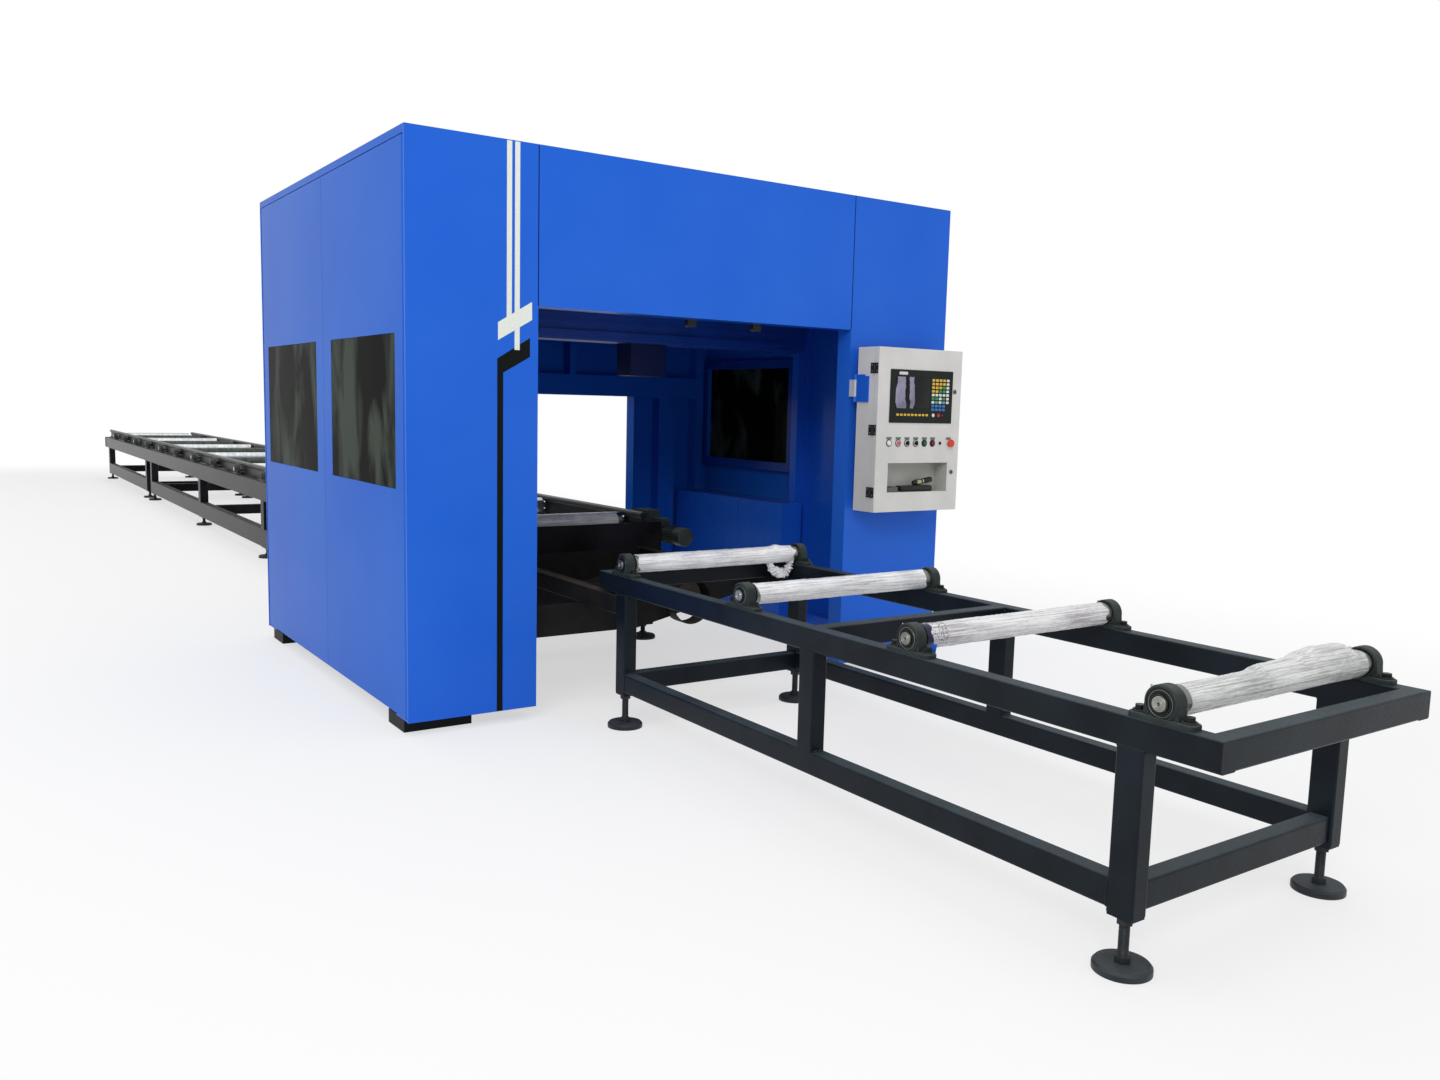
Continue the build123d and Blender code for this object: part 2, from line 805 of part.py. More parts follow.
nodes["guide_left"] = guide(-1, guide_far)
nodes["guide_right"] = guide(1, guide_far + guide_right_short)


def pillow_block():
    """Cast bearing block at the origin: bore along Y, foot standing block_height below the bore.

    Its shoulders run from the foot as tangents onto the ring, and a seal groove lies in each face.
    """
    low = -block_height
    plate_top = low + block_foot - block_boss
    foot_limits = (-block_length / 2, block_length / 2, -block_width / 2, block_width / 2)
    body = block(*foot_limits, low, plate_top)
    body = fillet(body.edges().filter_by(Axis.Z), block_end_r)
    body = chamfer(body.faces().sort_by(Axis.Z)[-1].edges(), foot_bevel)
    for side in (-1, 1):
        body += bar_z(side * bolt_spacing / 2, 0, low, low + block_foot, block_boss_r)
    ring_y = (-ring_width / 2, ring_width / 2)
    ring = bar_y(0, *ring_y, 0, block_ring)
    ring = chamfer(ring.edges().filter_by(GeomType.CIRCLE), ring_bevel)
    reach = hypot(block_shoulder, plate_top)
    rise = acos(block_ring / reach) + atan2(plate_top, block_shoulder)
    touch_x = block_ring * cos(rise)
    touch_z = block_ring * sin(rise)
    foot_points = ((-block_shoulder, plate_top - over), (block_shoulder, plate_top - over))
    outline = Polyline(*foot_points, (touch_x, touch_z), (-touch_x, touch_z), close=True)
    neck = extrude(Plane.XZ * make_face(outline), neck_width / 2, both=True)
    body += [ring, neck]
    for side in (-1, 1):
        groove_y = sided(side, ring_width / 2 - seal_depth, ring_width / 2 + over)
        body -= bar_y(0, *groove_y, 0, seal_outer_r) - bar_y(0, *groove_y, 0, seal_inner_r)
    return body - bar_y(0, -block_width, block_width, 0, shaft_r + shaft_fit)


def bolt():
    """Hexagon bolt head on its washer at the origin, its upper corners turned off."""
    corner_r = bolt_flats / sqrt(3)
    limit = bar_z(0, 0, washer_thick, bolt_head, corner_r)
    limit = chamfer(limit.faces().sort_by(Axis.Z)[-1].edges(), bolt_chamfer)
    head = hex_z(0, 0, washer_thick, bolt_head, bolt_flats) & limit
    return head + bar_z(0, 0, 0, washer_thick, washer_r)


in_rollers = [table_x0 + infeed_first + infeed_pitch * n for n in range(infeed_rollers)]
in_block_y = (in_y0 + infeed_tube / 2, in_y1 - infeed_tube / 2)
out_block_y = (out_y0 + outfeed_tube / 2, out_y1 - outfeed_tube / 2)
seats = [(x, y, infeed_axis) for x in in_rollers for y in in_block_y]
seats += [(x, y, outfeed_axis) for x in roller_x for y in out_block_y]
one_block = pillow_block()
one_bolt = bolt()
blocks = []
bolts = []
for x, y, z in seats:
    blocks.append(Pos(x, y, z) * one_block)
    for side in (-1, 1):
        bolt_x = x + side * bolt_spacing / 2
        bolts.append(Pos(bolt_x, y, z - block_height + block_foot) * one_bolt)
nodes["pillow_blocks"] = Compound(children=blocks)
nodes["bearing_bolts"] = Compound(children=bolts)


def roller(x, z, radius, shell_y, shaft_y):
    """Tube closed by two end discs on a through shaft, with a vent hole in the right disc."""
    inside = (shell_y[0] + roller_disc, shell_y[1] - roller_disc)
    shell = bar_y(x, *shell_y, z, radius) - bar_y(x, *inside, z, radius - roller_wall)
    shaft = bar_y(x, *shaft_y, z, shaft_r)
    shaft = chamfer(shaft.edges().filter_by(GeomType.CIRCLE), shaft_chamfer)
    vent_z = z + (shaft_r + radius - roller_wall) / 2
    vent = bar_y(x, inside[1] - over, shell_y[1] + over, vent_z, roller_vent_r)
    left_centre = bar_y(x, shaft_y[0] - over, shaft_y[0] + shaft_centre_depth, z, shaft_centre_r)
    right_centre = bar_y(x, shaft_y[1] - shaft_centre_depth, shaft_y[1] + over, z, shaft_centre_r)
    return shell + shaft - [vent, left_centre, right_centre]


in_shell_y = (cross[0] + infeed_shell_gap, cross[1] - infeed_shell_gap)
in_shaft_y = (in_y0 + infeed_shaft_inset, in_y1 - infeed_shaft_inset)
for number, x in enumerate(in_rollers, 1):
    name = f"infeed_roller_{number}"
    nodes[name] = roller(x, infeed_axis, infeed_roller_r, in_shell_y, in_shaft_y)
nose_face = outfeed_width / 2 - outfeed_tube - guide_gap - guide_web / 2 - guide_tube_r
shell_half = nose_face - roller_end_gap
out_shell_y = (line_y - shell_half, line_y + shell_half)
for number, x in enumerate(roller_x, 1):
    reach = drive_reach if number == 1 else -outfeed_shaft_inset
    out_shaft_y = (out_y0 + outfeed_shaft_inset, out_y1 + reach)
    name = f"outfeed_roller_{number:02d}"
    nodes[name] = roller(x, outfeed_axis, outfeed_roller_r, out_shell_y, out_shaft_y)

# Gearmotor on the end of the first outfeed shaft, held off turning by a foot on the rail.
drive_x = roller_x[0]
gear_y0 = out_y1 + gear_stand
gear_y1 = gear_y0 + gear_width
motor_y = gear_y0 + gear_width / 2
motor_z = outfeed_axis - motor_drop
gear_x1 = drive_x + gear_length / 2
motor_x0 = gear_x1 + flange_thick
motor_x1 = motor_x0 + motor_length
gear_z = (outfeed_axis - gear_drop, outfeed_axis + gear_rise)
gear = block(drive_x - gear_length / 2, gear_x1, gear_y0, gear_y1, *gear_z)
gear = fillet(gear.edges().filter_by(Axis.Y), gear_round)
motor_parts = [bar_x(gear_x1 - over, motor_x0, motor_y, motor_z, motor_r + flange_rim)]
motor_parts.append(bar_x(motor_x0, motor_x1, motor_y, motor_z, motor_r - fin_height))
fin_length = motor_length - 2 * fin_end_gap
fin_body = Pos(0, 0, motor_r - fin_height) * Box(fin_length, fin_thick, 2 * fin_height)
for number in range(fins):
    turn = Rot(360 * number / fins, 0, 0)
    motor_parts.append(Pos((motor_x0 + motor_x1) / 2, motor_y, motor_z) * turn * fin_body)
cowl = bar_x(motor_x1 - fin_end_gap, motor_x1 + cowl_length, motor_y, motor_z, motor_r)
cowl = fillet(cowl.edges().sort_by(Axis.X)[-1], cowl_round)
cowl_end = motor_x1 + cowl_length
cowl -= bar_x(cowl_end - cowl_recess, cowl_end + over, motor_y, motor_z, motor_r - cowl_rim)
motor_parts.append(cowl)
terminal_x = (gear_x1 + terminal_start, gear_x1 + terminal_start + terminal_length)
terminal_y = (motor_y - terminal_width / 2, motor_y + terminal_width / 2)
terminal_z = (motor_z + motor_r - terminal_root, motor_z + motor_r + terminal_height)
terminal = block(*terminal_x, *terminal_y, *terminal_z)
terminal = fillet(terminal.edges().filter_by(Axis.Z), terminal_round)
motor_parts.append(terminal)
gland_x = (terminal_x[1] - over, terminal_x[1] + gland_length)
motor_parts.append(bar_x(*gland_x, motor_y, terminal_z[1] - terminal_height / 2, gland_r))
motor_parts.append(bar_y(drive_x, gear_y1 - over, gear_y1 + gear_hub, outfeed_axis, gear_hub_r))
foot_span = (drive_x - gear_foot / 2, drive_x + gear_foot / 2)
motor_parts.append(block(*foot_span, out_y1, gear_y0 + over, gear_z[0], outfeed_axis - gear_foot_top))
bore_y = (out_y1 - over, gear_y1 + gear_hub + over)
gear = gear + motor_parts - bar_y(drive_x, *bore_y, outfeed_axis, shaft_r + shaft_fit)
nodes["gearmotor"] = gear

# Levelling feet: bevelled round pad, nut on it, stem up into the leg and a nut under the leg.
pad_outline = Polyline(
    (0, 0), (pad_r, 0), (pad_r, pad_rim), (pad_r - pad_bevel, pad_thick), (0, pad_thick), close=True
)
pad = revolve(Plane.XZ * make_face(pad_outline), Axis.Z)
pad += hex_z(0, 0, pad_thick, pad_thick + nut_height, nut_flats)
feet = []
for x, y, z in feet_at:
    foot = Pos(x, y, 0) * pad
    foot += bar_z(x, y, pad_thick, z + stem_rise, stem_r)
    foot += hex_z(x, y, z - nut_height, z, nut_flats)
    feet.append(foot)
nodes["levelling_feet"] = Compound(children=feet)

# Cross beam of the cutting head between the middle posts: two slide bars and a rack on its front,
# a terminal box hanging under it.
beam_x1 = front_x - beam_front
beam_x0 = beam_x1 - beam_size
beam_limits = (beam_x0, beam_x1, -rail_in, rail_in, beam_bottom, beam_top)
beam = tube(beam_limits, 1, beam_corner)
beam_hole = (beam_x0 + beam_wall, beam_x1 - beam_wall, -rail_in - over, rail_in + over)
beam -= block(*beam_hole, beam_bottom + beam_wall, beam_top - beam_wall)
bar_levels = (beam_bottom + slide_inset, beam_top - slide_inset)
travel = rail_in - beam_end_gap
for z in bar_levels:
    bar_z_limits = (z - slide_bar / 2, z + slide_bar / 2)
    beam += block(beam_x1 - over, beam_x1 + slide_height, -travel, travel, *bar_z_limits)
rack_z = (beam_bottom + beam_top) / 2
rack_limits = (rack_z - rack_height / 2, rack_z + rack_height / 2)
beam += block(beam_x1 - over, beam_x1 + rack_thick, -travel, travel, *rack_limits)
terminal_x = (beam_x0 + terminal_box_margin, beam_x1 - terminal_box_margin)
terminal_y = (terminal_box_y - terminal_box_width / 2, terminal_box_y + terminal_box_width / 2)
beam += block(*terminal_x, *terminal_y, beam_bottom - terminal_box_drop, beam_bottom + over)
nodes["gantry_beam"] = beam

# Carriage: plate on four runners, two runners for the ram, the servo motor and a valve block.
plate_x0 = beam_x1 + slide_height + plate_gap
plate_x1 = plate_x0 + carriage_plate
plate_y = (carriage_y - carriage_half, carriage_y + carriage_half)
carriage = block(plate_x0, plate_x1, *plate_y, carriage_low, carriage_high)
ram_bar_x0 = plate_x1 + plate_gap
ram_x0 = ram_bar_x0 + slide_height
ram_x1 = ram_x0 + ram_size
ram_x = (ram_x0 + ram_x1) / 2
slot_half = slide_bar / 2 + slide_fit
runners = []
slots = []
for z in bar_levels:
    for y in (carriage_y - runner_offset, carriage_y + runner_offset):
        runner_y = (y - runner_length / 2, y + runner_length / 2)
        runner_z = (z - runner_height / 2, z + runner_height / 2)
        runners.append(block(beam_x1 + runner_gap, plate_x0 + over, *runner_y, *runner_z))
        slot_x = (beam_x1, beam_x1 + slide_height + slide_fit)
        slot_y = (runner_y[0] - over, runner_y[1] + over)
        slots.append(block(*slot_x, *slot_y, z - slot_half, z + slot_half))
for z in (carriage_low + ram_runner_inset, carriage_high - ram_runner_inset):
    runner_y = (carriage_y - ram_runner_width / 2, carriage_y + ram_runner_width / 2)
    runner_z = (z - ram_runner_height / 2, z + ram_runner_height / 2)
    runners.append(block(plate_x1 - over, ram_x0 - runner_gap, *runner_y, *runner_z))
    slot_x = (ram_bar_x0 - slide_fit, ram_x0)
    slot_z = (runner_z[0] - over, runner_z[1] + over)
    slots.append(block(*slot_x, carriage_y - slot_half, carriage_y + slot_half, *slot_z))
carriage = carriage + runners - slots
servo_y = carriage_y + ram_size / 2 + servo_gap
servo_z = (carriage_low + servo_low, carriage_low + servo_low + servo_height)
servo_x = (plate_x1 - over, plate_x1 + servo_width)
carriage += block(*servo_x, servo_y - servo_width / 2, servo_y + servo_width / 2, *servo_z)
cap_middle = plate_x1 + servo_width / 2
carriage += bar_z(cap_middle, servo_y, servo_z[1] - over, servo_z[1] + servo_cap, servo_cap_r)
valve_y = (carriage_y - valve_start, carriage_y - valve_end)
valve_z = (carriage_low + valve_inset, carriage_high - valve_inset)
carriage += block(plate_x1 - over, plate_x1 + valve_depth, *valve_y, *valve_z)
nodes["torch_carriage"] = carriage

# Ram: square tube with its own slide bar and a bored floor for the swivel.
ram_y = (carriage_y - ram_size / 2, carriage_y + ram_size / 2)
ram = tube((ram_x0, ram_x1, *ram_y, ram_low, ram_high), 2, ram_corner)
hollow_x = (ram_x0 + ram_wall, ram_x1 - ram_wall)
hollow_y = (ram_y[0] + ram_wall, ram_y[1] - ram_wall)
ram -= block(*hollow_x, *hollow_y, ram_low + ram_floor, ram_high + over)
ram_bar_y = (carriage_y - slide_bar / 2, carriage_y + slide_bar / 2)
ram += block(ram_bar_x0, ram_x0 + over, *ram_bar_y, ram_low + ram_bar_low, ram_high - ram_bar_high)
swivel_bore = (ram_low - over, ram_low + ram_floor + over)
ram -= bar_z(ram_x, carriage_y, *swivel_bore, shaft_r + shaft_fit)
nodes["torch_ram"] = ram

# Swivel: disc and fork under the ram on a short shaft.
disc_top = ram_low - swivel_gap
disc_low = disc_top - swivel_disc
cheek_in = torch_r + cheek_gap
cheek_out = cheek_in + cheek_thick
swivel = bar_z(ram_x, carriage_y, disc_low, disc_top, swivel_r)
swivel += bar_z(ram_x, carriage_y, disc_top - over, ram_low + ram_floor + swivel_shaft_top, shaft_r)
for side in (-1, 1):
    y0 = min(carriage_y + side * cheek_in, carriage_y + side * cheek_out)
    y1 = y0 + cheek_thick
    swivel += block(ram_x - cheek_half, ram_x + cheek_half, y0, y1, tilt_z, disc_low + over)
    swivel += bar_y(ram_x, y0, y1, tilt_z, cheek_half)
pin_y = (carriage_y - cheek_out - over, carriage_y + cheek_out + over)
swivel -= bar_y(ram_x, *pin_y, tilt_z, tilt_pin_r + shaft_fit)
nodes["torch_swivel"] = swivel

# Torch: clamp block on its tilt pin, barrel and tapered nozzle.
clamp_y = (carriage_y - cheek_in + clamp_gap, carriage_y + cheek_in - clamp_gap)
clamp_z = (tilt_z - clamp_height, tilt_z + clamp_height)
torch = block(ram_x - clamp_half, ram_x + clamp_half, *clamp_y, *clamp_z)
nozzle_top = torch_tip + nozzle_length
torch += bar_z(ram_x, carriage_y, nozzle_top, tilt_z + torch_rise, torch_r)
nozzle = Cone(nozzle_r, torch_r, nozzle_length)
torch += Pos(ram_x, carriage_y, torch_tip + nozzle_length / 2) * nozzle
torch += bar_y(ram_x, carriage_y - cheek_out, carriage_y + cheek_out, tilt_z, tilt_pin_r)
nodes["torch_head"] = torch

# Slag tray: trough with a sloped floor between two carrying rails, with a round fume outlet.
tray_x0 = front_x - tray_end
tray_x1 = front_x - tray_start
left_in, right_in = cross
floor_y = left_in + tray_flat
outer = Polyline(
    (left_in, tray_rail_top),
    (left_in, tray_low),
    (floor_y, tray_low),
    (right_in, tray_high),
    (right_in, tray_rail_top),
    close=True,
)
inner = Polyline(
    (left_in + tray_wall, tray_rail_top + over),
    (left_in + tray_wall, tray_low + tray_wall),
    (floor_y, tray_low + tray_wall),
    (right_in - tray_wall, tray_high + tray_wall),
    (right_in - tray_wall, tray_rail_top + over),
    close=True,
)
outer_plane = Plane(origin=(tray_x0, 0, 0), x_dir=(0, 1, 0), z_dir=(1, 0, 0))
inner_plane = Plane(origin=(tray_x0 + tray_wall, 0, 0), x_dir=(0, 1, 0), z_dir=(1, 0, 0))
tray = extrude(outer_plane * make_face(outer), tray_x1 - tray_x0)
tray -= extrude(inner_plane * make_face(inner), tray_x1 - tray_x0 - 2 * tray_wall)
fume_z = tray_rail_top - fume_r
fume_x0 = tray_x1 - tray_wall
fume_x1 = tray_x1 + fume_reach
tray += block(fume_x0, tray_x1, open_left, floor_y, tray_low, tray_low + apron_height)
tray += bar_x(fume_x0, fume_x1, fume_y, fume_z, fume_r)
tray -= bar_x(fume_x0 - over, fume_x1 + over, fume_y, fume_z, fume_r - fume_wall)
carry_x = (end_x, far_leg_x - infeed_leg / 2)
carry_z = (tray_rail_top - infeed_depth, tray_rail_top)
for y0 in (in_y0, in_y1 - infeed_tube):
    carry = tube((*carry_x, y0, y0 + infeed_tube, *carry_z), 0, infeed_corner)
    hole_x = (carry_x[0] - over, carry_x[1] + over)
    hole_y = (y0 + infeed_wall, y0 + infeed_tube - infeed_wall)
    tray += carry - block(*hole_x, *hole_y, carry_z[0] + infeed_wall, carry_z[1] - infeed_wall)
nodes["slag_tray"] = tray

# Hinge block on the right column, its barrel standing at the front corner.
axis_x = front_x + swing_x
barrel_z = (swing_low + knuckle + knuckle_gap, swing_high - knuckle - knuckle_gap)
arm = block(front_x, axis_x - arm_relief, swing_y, swing_y + arm_width, *barrel_z)
arm += bar_z(axis_x, swing_y, *barrel_z, swing_r)
arm -= bar_z(axis_x, swing_y, swing_low, swing_high, swing_pin_r + swing_fit)
nodes["hinge_block"] = arm

# Control box body with its rim, swing bracket and hinge leaves.
box_x0 = front_x + box_stand
box_x1 = box_x0 + box_depth
box_y1 = box_y + box_width
body = block(box_x0, box_x1, box_y, box_y1, box_low, box_high)
body = fillet(body.edges().filter_by(Axis.X), box_round)
inner_y = (box_y + box_sheet, box_y1 - box_sheet)
inner_z = (box_low + box_sheet, box_high - box_sheet)
body -= block(box_x0 + box_sheet, box_x1 - box_sheet, *inner_y, *inner_z)
rim_y = (box_y + box_rim, box_y1 - box_rim)
rim_z = (box_low + box_rim, box_high - box_rim)
body -= block(box_x1 - box_sheet - over, box_x1 + over, *rim_y, *rim_z)
bracket_y = (box_y - bracket_thick, box_y)
bracket_x = (axis_x + swing_r + bracket_clear, box_x0 + bracket_reach)
bracket = block(*bracket_x, *bracket_y, swing_low, swing_high - bracket_thick)
for z0 in (swing_low, swing_high - knuckle):
    bracket += bar_z(axis_x, swing_y, z0, z0 + knuckle, swing_r)
    bracket += block(axis_x, box_x0 + bracket_root, *bracket_y, z0, z0 + knuckle)
bracket += bar_z(axis_x, swing_y, swing_low, swing_high, swing_pin_r)
body += bracket
door_x0 = box_x1 + box_gasket
door_x1 = door_x0 + door_thick
hinge_x = front_x + door_axis_x
leaf_y = (box_y - hinge_leaf, box_y)
web_y = (leaf_y[0] - hinge_web, leaf_y[0] + over)
for z in door_hinges:
    leaf_x = (hinge_x - hinge_box_leaf, hinge_x - door_hinge_r - over)
    middle_z = (z - hinge_middle, z + hinge_middle)
    body += block(*leaf_x, *leaf_y, z - hinge_half, z + hinge_half)
    body += bar_z(hinge_x, door_axis_y, *middle_z, door_hinge_r)
    body += block(hinge_x - hinge_root, hinge_x, *web_y, *middle_z)
    pin_hole = (z - hinge_step, z + hinge_step)
    body -= bar_z(hinge_x, door_axis_y, *pin_hole, door_hinge_pin + swing_fit)
nodes["box_body"] = body

# Control box door: folded pan with cut-outs and a deep open pocket.
door = block(door_x0, door_x1, box_y, box_y1, box_low, box_high)
door = fillet(door.faces().sort_by(Axis.X)[-1].edges() + door.edges().filter_by(Axis.X), box_round)
door -= block(door_x0 - over, door_x1 - box_sheet, *inner_y, *inner_z)
screen_y0 = box_y + screen_left
screen_y1 = screen_y0 + screen_width
hole_y = (screen_y0 + unit_lap, screen_y1 - unit_lap)
hole_z = (screen_low + unit_lap, screen_high - unit_lap)
door -= block(door_x0, door_x1 + over, *hole_y, *hole_z)
pocket_y0 = box_y + pocket_left
pocket_y1 = pocket_y0 + pocket_width
pocket_x0 = door_x1 - pocket_depth
pocket_y = (pocket_y0 - pocket_sheet, pocket_y1 + pocket_sheet)
pocket_z = (pocket_low - pocket_sheet, pocket_high + pocket_sheet)
door += block(pocket_x0, door_x1, *pocket_y, *pocket_z)
pocket_x = (pocket_x0 + pocket_sheet, door_x1 + over)
door -= block(*pocket_x, pocket_y0, pocket_y1, pocket_low, pocket_high)
button_y = [box_y + offset for offset in button_offsets]
lock_y = box_y1 - lock_offset
door_holes = []
for y in button_y:
    door_holes.append(bar_x(door_x0, door_x1 + over, y, button_row, button_r + button_gap))
for z in lock_levels:
    door_holes.append(bar_x(door_x0, door_x1 + over, lock_y, z, lock_r + lock_fit))
door -= door_holes
for z in door_hinges:
    leaf_x = (hinge_x + door_hinge_r + over, hinge_x + hinge_door_leaf)
    door += block(*leaf_x, *leaf_y, z - hinge_half, z + hinge_half)
    for z0 in (z - hinge_half, z + hinge_step):
        door += bar_z(hinge_x, door_axis_y, z0, z0 + hinge_end, door_hinge_r)
        door += block(hinge_x, hinge_x + hinge_root, *web_y, z0, z0 + hinge_end)
    door += bar_z(hinge_x, door_axis_y, z - hinge_half, z + hinge_half, door_hinge_pin)
nodes["box_door"] = door

# Control unit: front plate over the cut-out, sunk screen, case behind.
unit = block(door_x1, door_x1 + unit_plate, screen_y0, screen_y1, screen_low, screen_high)
case_y = (hole_y[0] + unit_gap, hole_y[1] - unit_gap)
case_z = (hole_z[0] + unit_gap, hole_z[1] - unit_gap)
unit += block(door_x1 - unit_case, door_x1 + over, *case_y, *case_z)
glass_y = (screen_y0 + glass_left, screen_y0 + glass_left + glass_width)
glass_z = (screen_low + glass_low, screen_high - glass_top)
glass_x = (door_x1 + unit_plate - glass_depth, door_x1 + unit_plate + over)
unit -= block(*glass_x, *glass_y, *glass_z)
nodes["cnc_unit"] = unit

# Mounting plate with drives, supply and terminal rails inside the box.
sheet_x = (box_x0 + box_sheet, box_x0 + box_sheet + drive_sheet)
sheet_y = (box_y + drive_margin, box_y1 - drive_margin)
drives = block(*sheet_x, *sheet_y, box_low + drive_lift, box_high - drive_lift)
face = sheet_x[1]
seat = face - over
for start in drive_starts:
    y = box_y + start
    drive_z = (box_low + drive_low, box_low + drive_high)
    drives += block(seat, face + drive_deep, y, y + drive_width, *drive_z)
supply_y = (box_y + supply_start, box_y + supply_end)
supply_z = (box_low + supply_low, box_low + supply_high)
drives += block(seat, face + supply_deep, *supply_y, *supply_z)
for low, high, deep in (clip_rail, wire_duct):
    run_y = (box_y + rail_start, box_y1 - rail_end)
    drives += block(seat, face + deep, *run_y, box_low + low, box_low + high)
strip_low, strip_high, strip_deep = terminal_strip
strip_y = (box_y + terminal_strip_start, box_y1 - terminal_strip_end)
drives += block(seat, face + strip_deep, *strip_y, box_low + strip_low, box_low + strip_high)
nodes["drive_plate"] = drives


def collar(y, height, radius):
    """Bezel ring on the door face, its outer front edge bevelled."""
    ring = bar_x(door_x1, door_x1 + height, y, button_row, radius)
    ring = chamfer(ring.edges().sort_by(Axis.X)[-1], bezel_chamfer)
    bore = (door_x1 - over, door_x1 + height + over)
    return ring - bar_x(*bore, y, button_row, button_r + button_gap)


def push_button(y):
    """Button cap with its plunger, the cap's edge rounded."""
    cap = bar_x(door_x1 - button_stem, door_x1 + button_proud, y, button_row, button_r)
    return fillet(cap.edges().sort_by(Axis.X)[-1], button_round)


def selector(y):
    """Turning knob with a raised grip."""
    face_x = door_x1 + knob_height
    knob = bar_x(door_x1 - button_stem, face_x, y, button_row, button_r)
    grip_z = (button_row - grip_reach, button_row + grip_reach)
    grip = block(face_x - over, face_x + grip_height, y - grip_half, y + grip_half, *grip_z)
    grip = fillet(grip.edges().filter_by(Axis.X), grip_round)
    return knob + grip


# Button collars with the small port on the door, and the moving pieces in them.
collars = [collar(y, bezel_height, bezel_r) for y in button_y[:-1]]
collars.append(collar(button_y[-1], stop_collar, stop_collar_r))
collars.append(bar_x(door_x1, door_x1 + port_height, box_y + port_offset, button_row, port_r))
nodes["button_collars"] = Compound(children=collars)
nodes["button_white"] = push_button(button_y[0])
nodes["button_red_lit"] = push_button(button_y[1])
nodes["selector_left"] = selector(button_y[2])
nodes["selector_right"] = selector(button_y[3])
nodes["button_green"] = push_button(button_y[4])
nodes["button_dark_red"] = push_button(button_y[5])
neck_x = (door_x1 - button_stem, door_x1 + stop_neck + over)
stop = bar_x(*neck_x, button_y[6], button_row, button_r)
head_x = (door_x1 + stop_neck, door_x1 + stop_neck + stop_head)
head = bar_x(*head_x, button_y[6], button_row, stop_r)
stop += fillet(head.edges().sort_by(Axis.X)[-1], stop_round)
nodes["emergency_stop"] = stop

# Cam locks: round head with a key slot, stem and a cam that turns behind the box rim.
for name, z in zip(("lock_upper", "lock_lower"), lock_levels):
    head = bar_x(door_x1, door_x1 + lock_head, lock_y, z, lock_head_r)
    head = fillet(head.edges().sort_by(Axis.X)[-1], lock_round)
    lock = head + bar_x(box_x1 - cam_back, door_x1 + over, lock_y, z, lock_r)
    cam_x = (box_x1 - cam_back, box_x1 - cam_back + cam_thick)
    lock += block(*cam_x, lock_y - cam_half, lock_y + cam_half, z - cam_length, z + cam_half)
    slot_x = (door_x1 + lock_head - lock_slot_depth, door_x1 + lock_head + over)
    slot_y = (lock_y - lock_slot / 2, lock_y + lock_slot / 2)
    lock -= block(*slot_x, *slot_y, z - lock_slot_reach, z + lock_slot_reach)
    nodes[name] = lock

for name, shape in nodes.items():
    export_step(shape, f"parts/{name}.step")
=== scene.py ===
import math

import bmesh
import bpy
import numpy as np
from mathutils import Matrix, Vector


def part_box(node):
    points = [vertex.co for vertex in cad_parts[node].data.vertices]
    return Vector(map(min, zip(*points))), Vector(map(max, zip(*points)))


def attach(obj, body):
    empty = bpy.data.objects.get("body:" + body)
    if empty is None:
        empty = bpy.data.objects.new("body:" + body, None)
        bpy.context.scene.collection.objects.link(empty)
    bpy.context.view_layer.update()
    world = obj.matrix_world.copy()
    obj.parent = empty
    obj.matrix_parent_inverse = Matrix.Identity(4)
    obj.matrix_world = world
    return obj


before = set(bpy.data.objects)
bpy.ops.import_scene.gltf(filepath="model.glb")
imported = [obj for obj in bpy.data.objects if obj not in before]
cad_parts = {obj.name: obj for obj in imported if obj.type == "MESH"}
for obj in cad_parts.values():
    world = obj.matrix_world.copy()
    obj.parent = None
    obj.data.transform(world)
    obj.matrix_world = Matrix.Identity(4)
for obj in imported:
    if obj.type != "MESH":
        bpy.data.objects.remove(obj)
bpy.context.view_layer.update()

# Camera, from the fit of the cabin's and the tables' corners, in metres, radians and image pixels.
camera_place = (11.3215, -3.0694, 1.4052)
camera_pitch = 0.1170
camera_roll = 0.0243
camera_turn = 0.9694
camera_reach = 200.0
image_width = 1440
focal_pixels = 1145.66
sensor_width = 36.0

# Light and floor; the floor turns to the white of the backdrop between two distances from the line.
sky_strength = 0.62
floor_half = 90.0
floor_drop = 0.001
floor_patch = 3.0
floor_roughness = 0.8
line_half_length = 9.9
line_half_width = 1.5
floor_fade_start = 0.3
floor_fade_end = 4.0
floor_white = 0.60

# Film on the rollers, and the stretch of it that is soiled.
film_lift = 0.0008
film_ridge = 0.0014
film_crinkle = 0.0006
film_lap_pitch = 0.24
film_lap_step = 0.0009
film_edge = 0.010
film_fall = 0.016
film_skin_gap = 0.0002
soiled_stretch = (-0.60, -0.51)

# A film hump rises in steps (share, place, softness) and falls off at its end, in shares of its width. It
# leans over by an angle.
hump_steps = ((0.35, -1.0, 0.03), (0.65, -0.45, 0.07))
hump_end = 0.22
hump_lean = 0.55

# The film loop: where it starts along Y, its reach, its sag, and the size of its crumpled profile.
loop_start = 0.140
loop_span = 0.125
loop_sag = 0.058
loop_tuck = 0.008
loop_half_width = 0.013
loop_belly = 0.006
loop_drift = 0.012

# Bearing housings: half their width and the ring's radius; their rows across the two tables.
housing_half_width = 0.022
housing_radius = 0.047
infeed_rows = (-0.630, 0.310)
outfeed_rows = (-0.730, 0.410)

# Stripes on the front, thickness off the sheet.
stripe_back = 0.0001
black_stripe_lift = 0.0005
white_stripe_lift = 0.0009
white_bar_lift = 0.0013

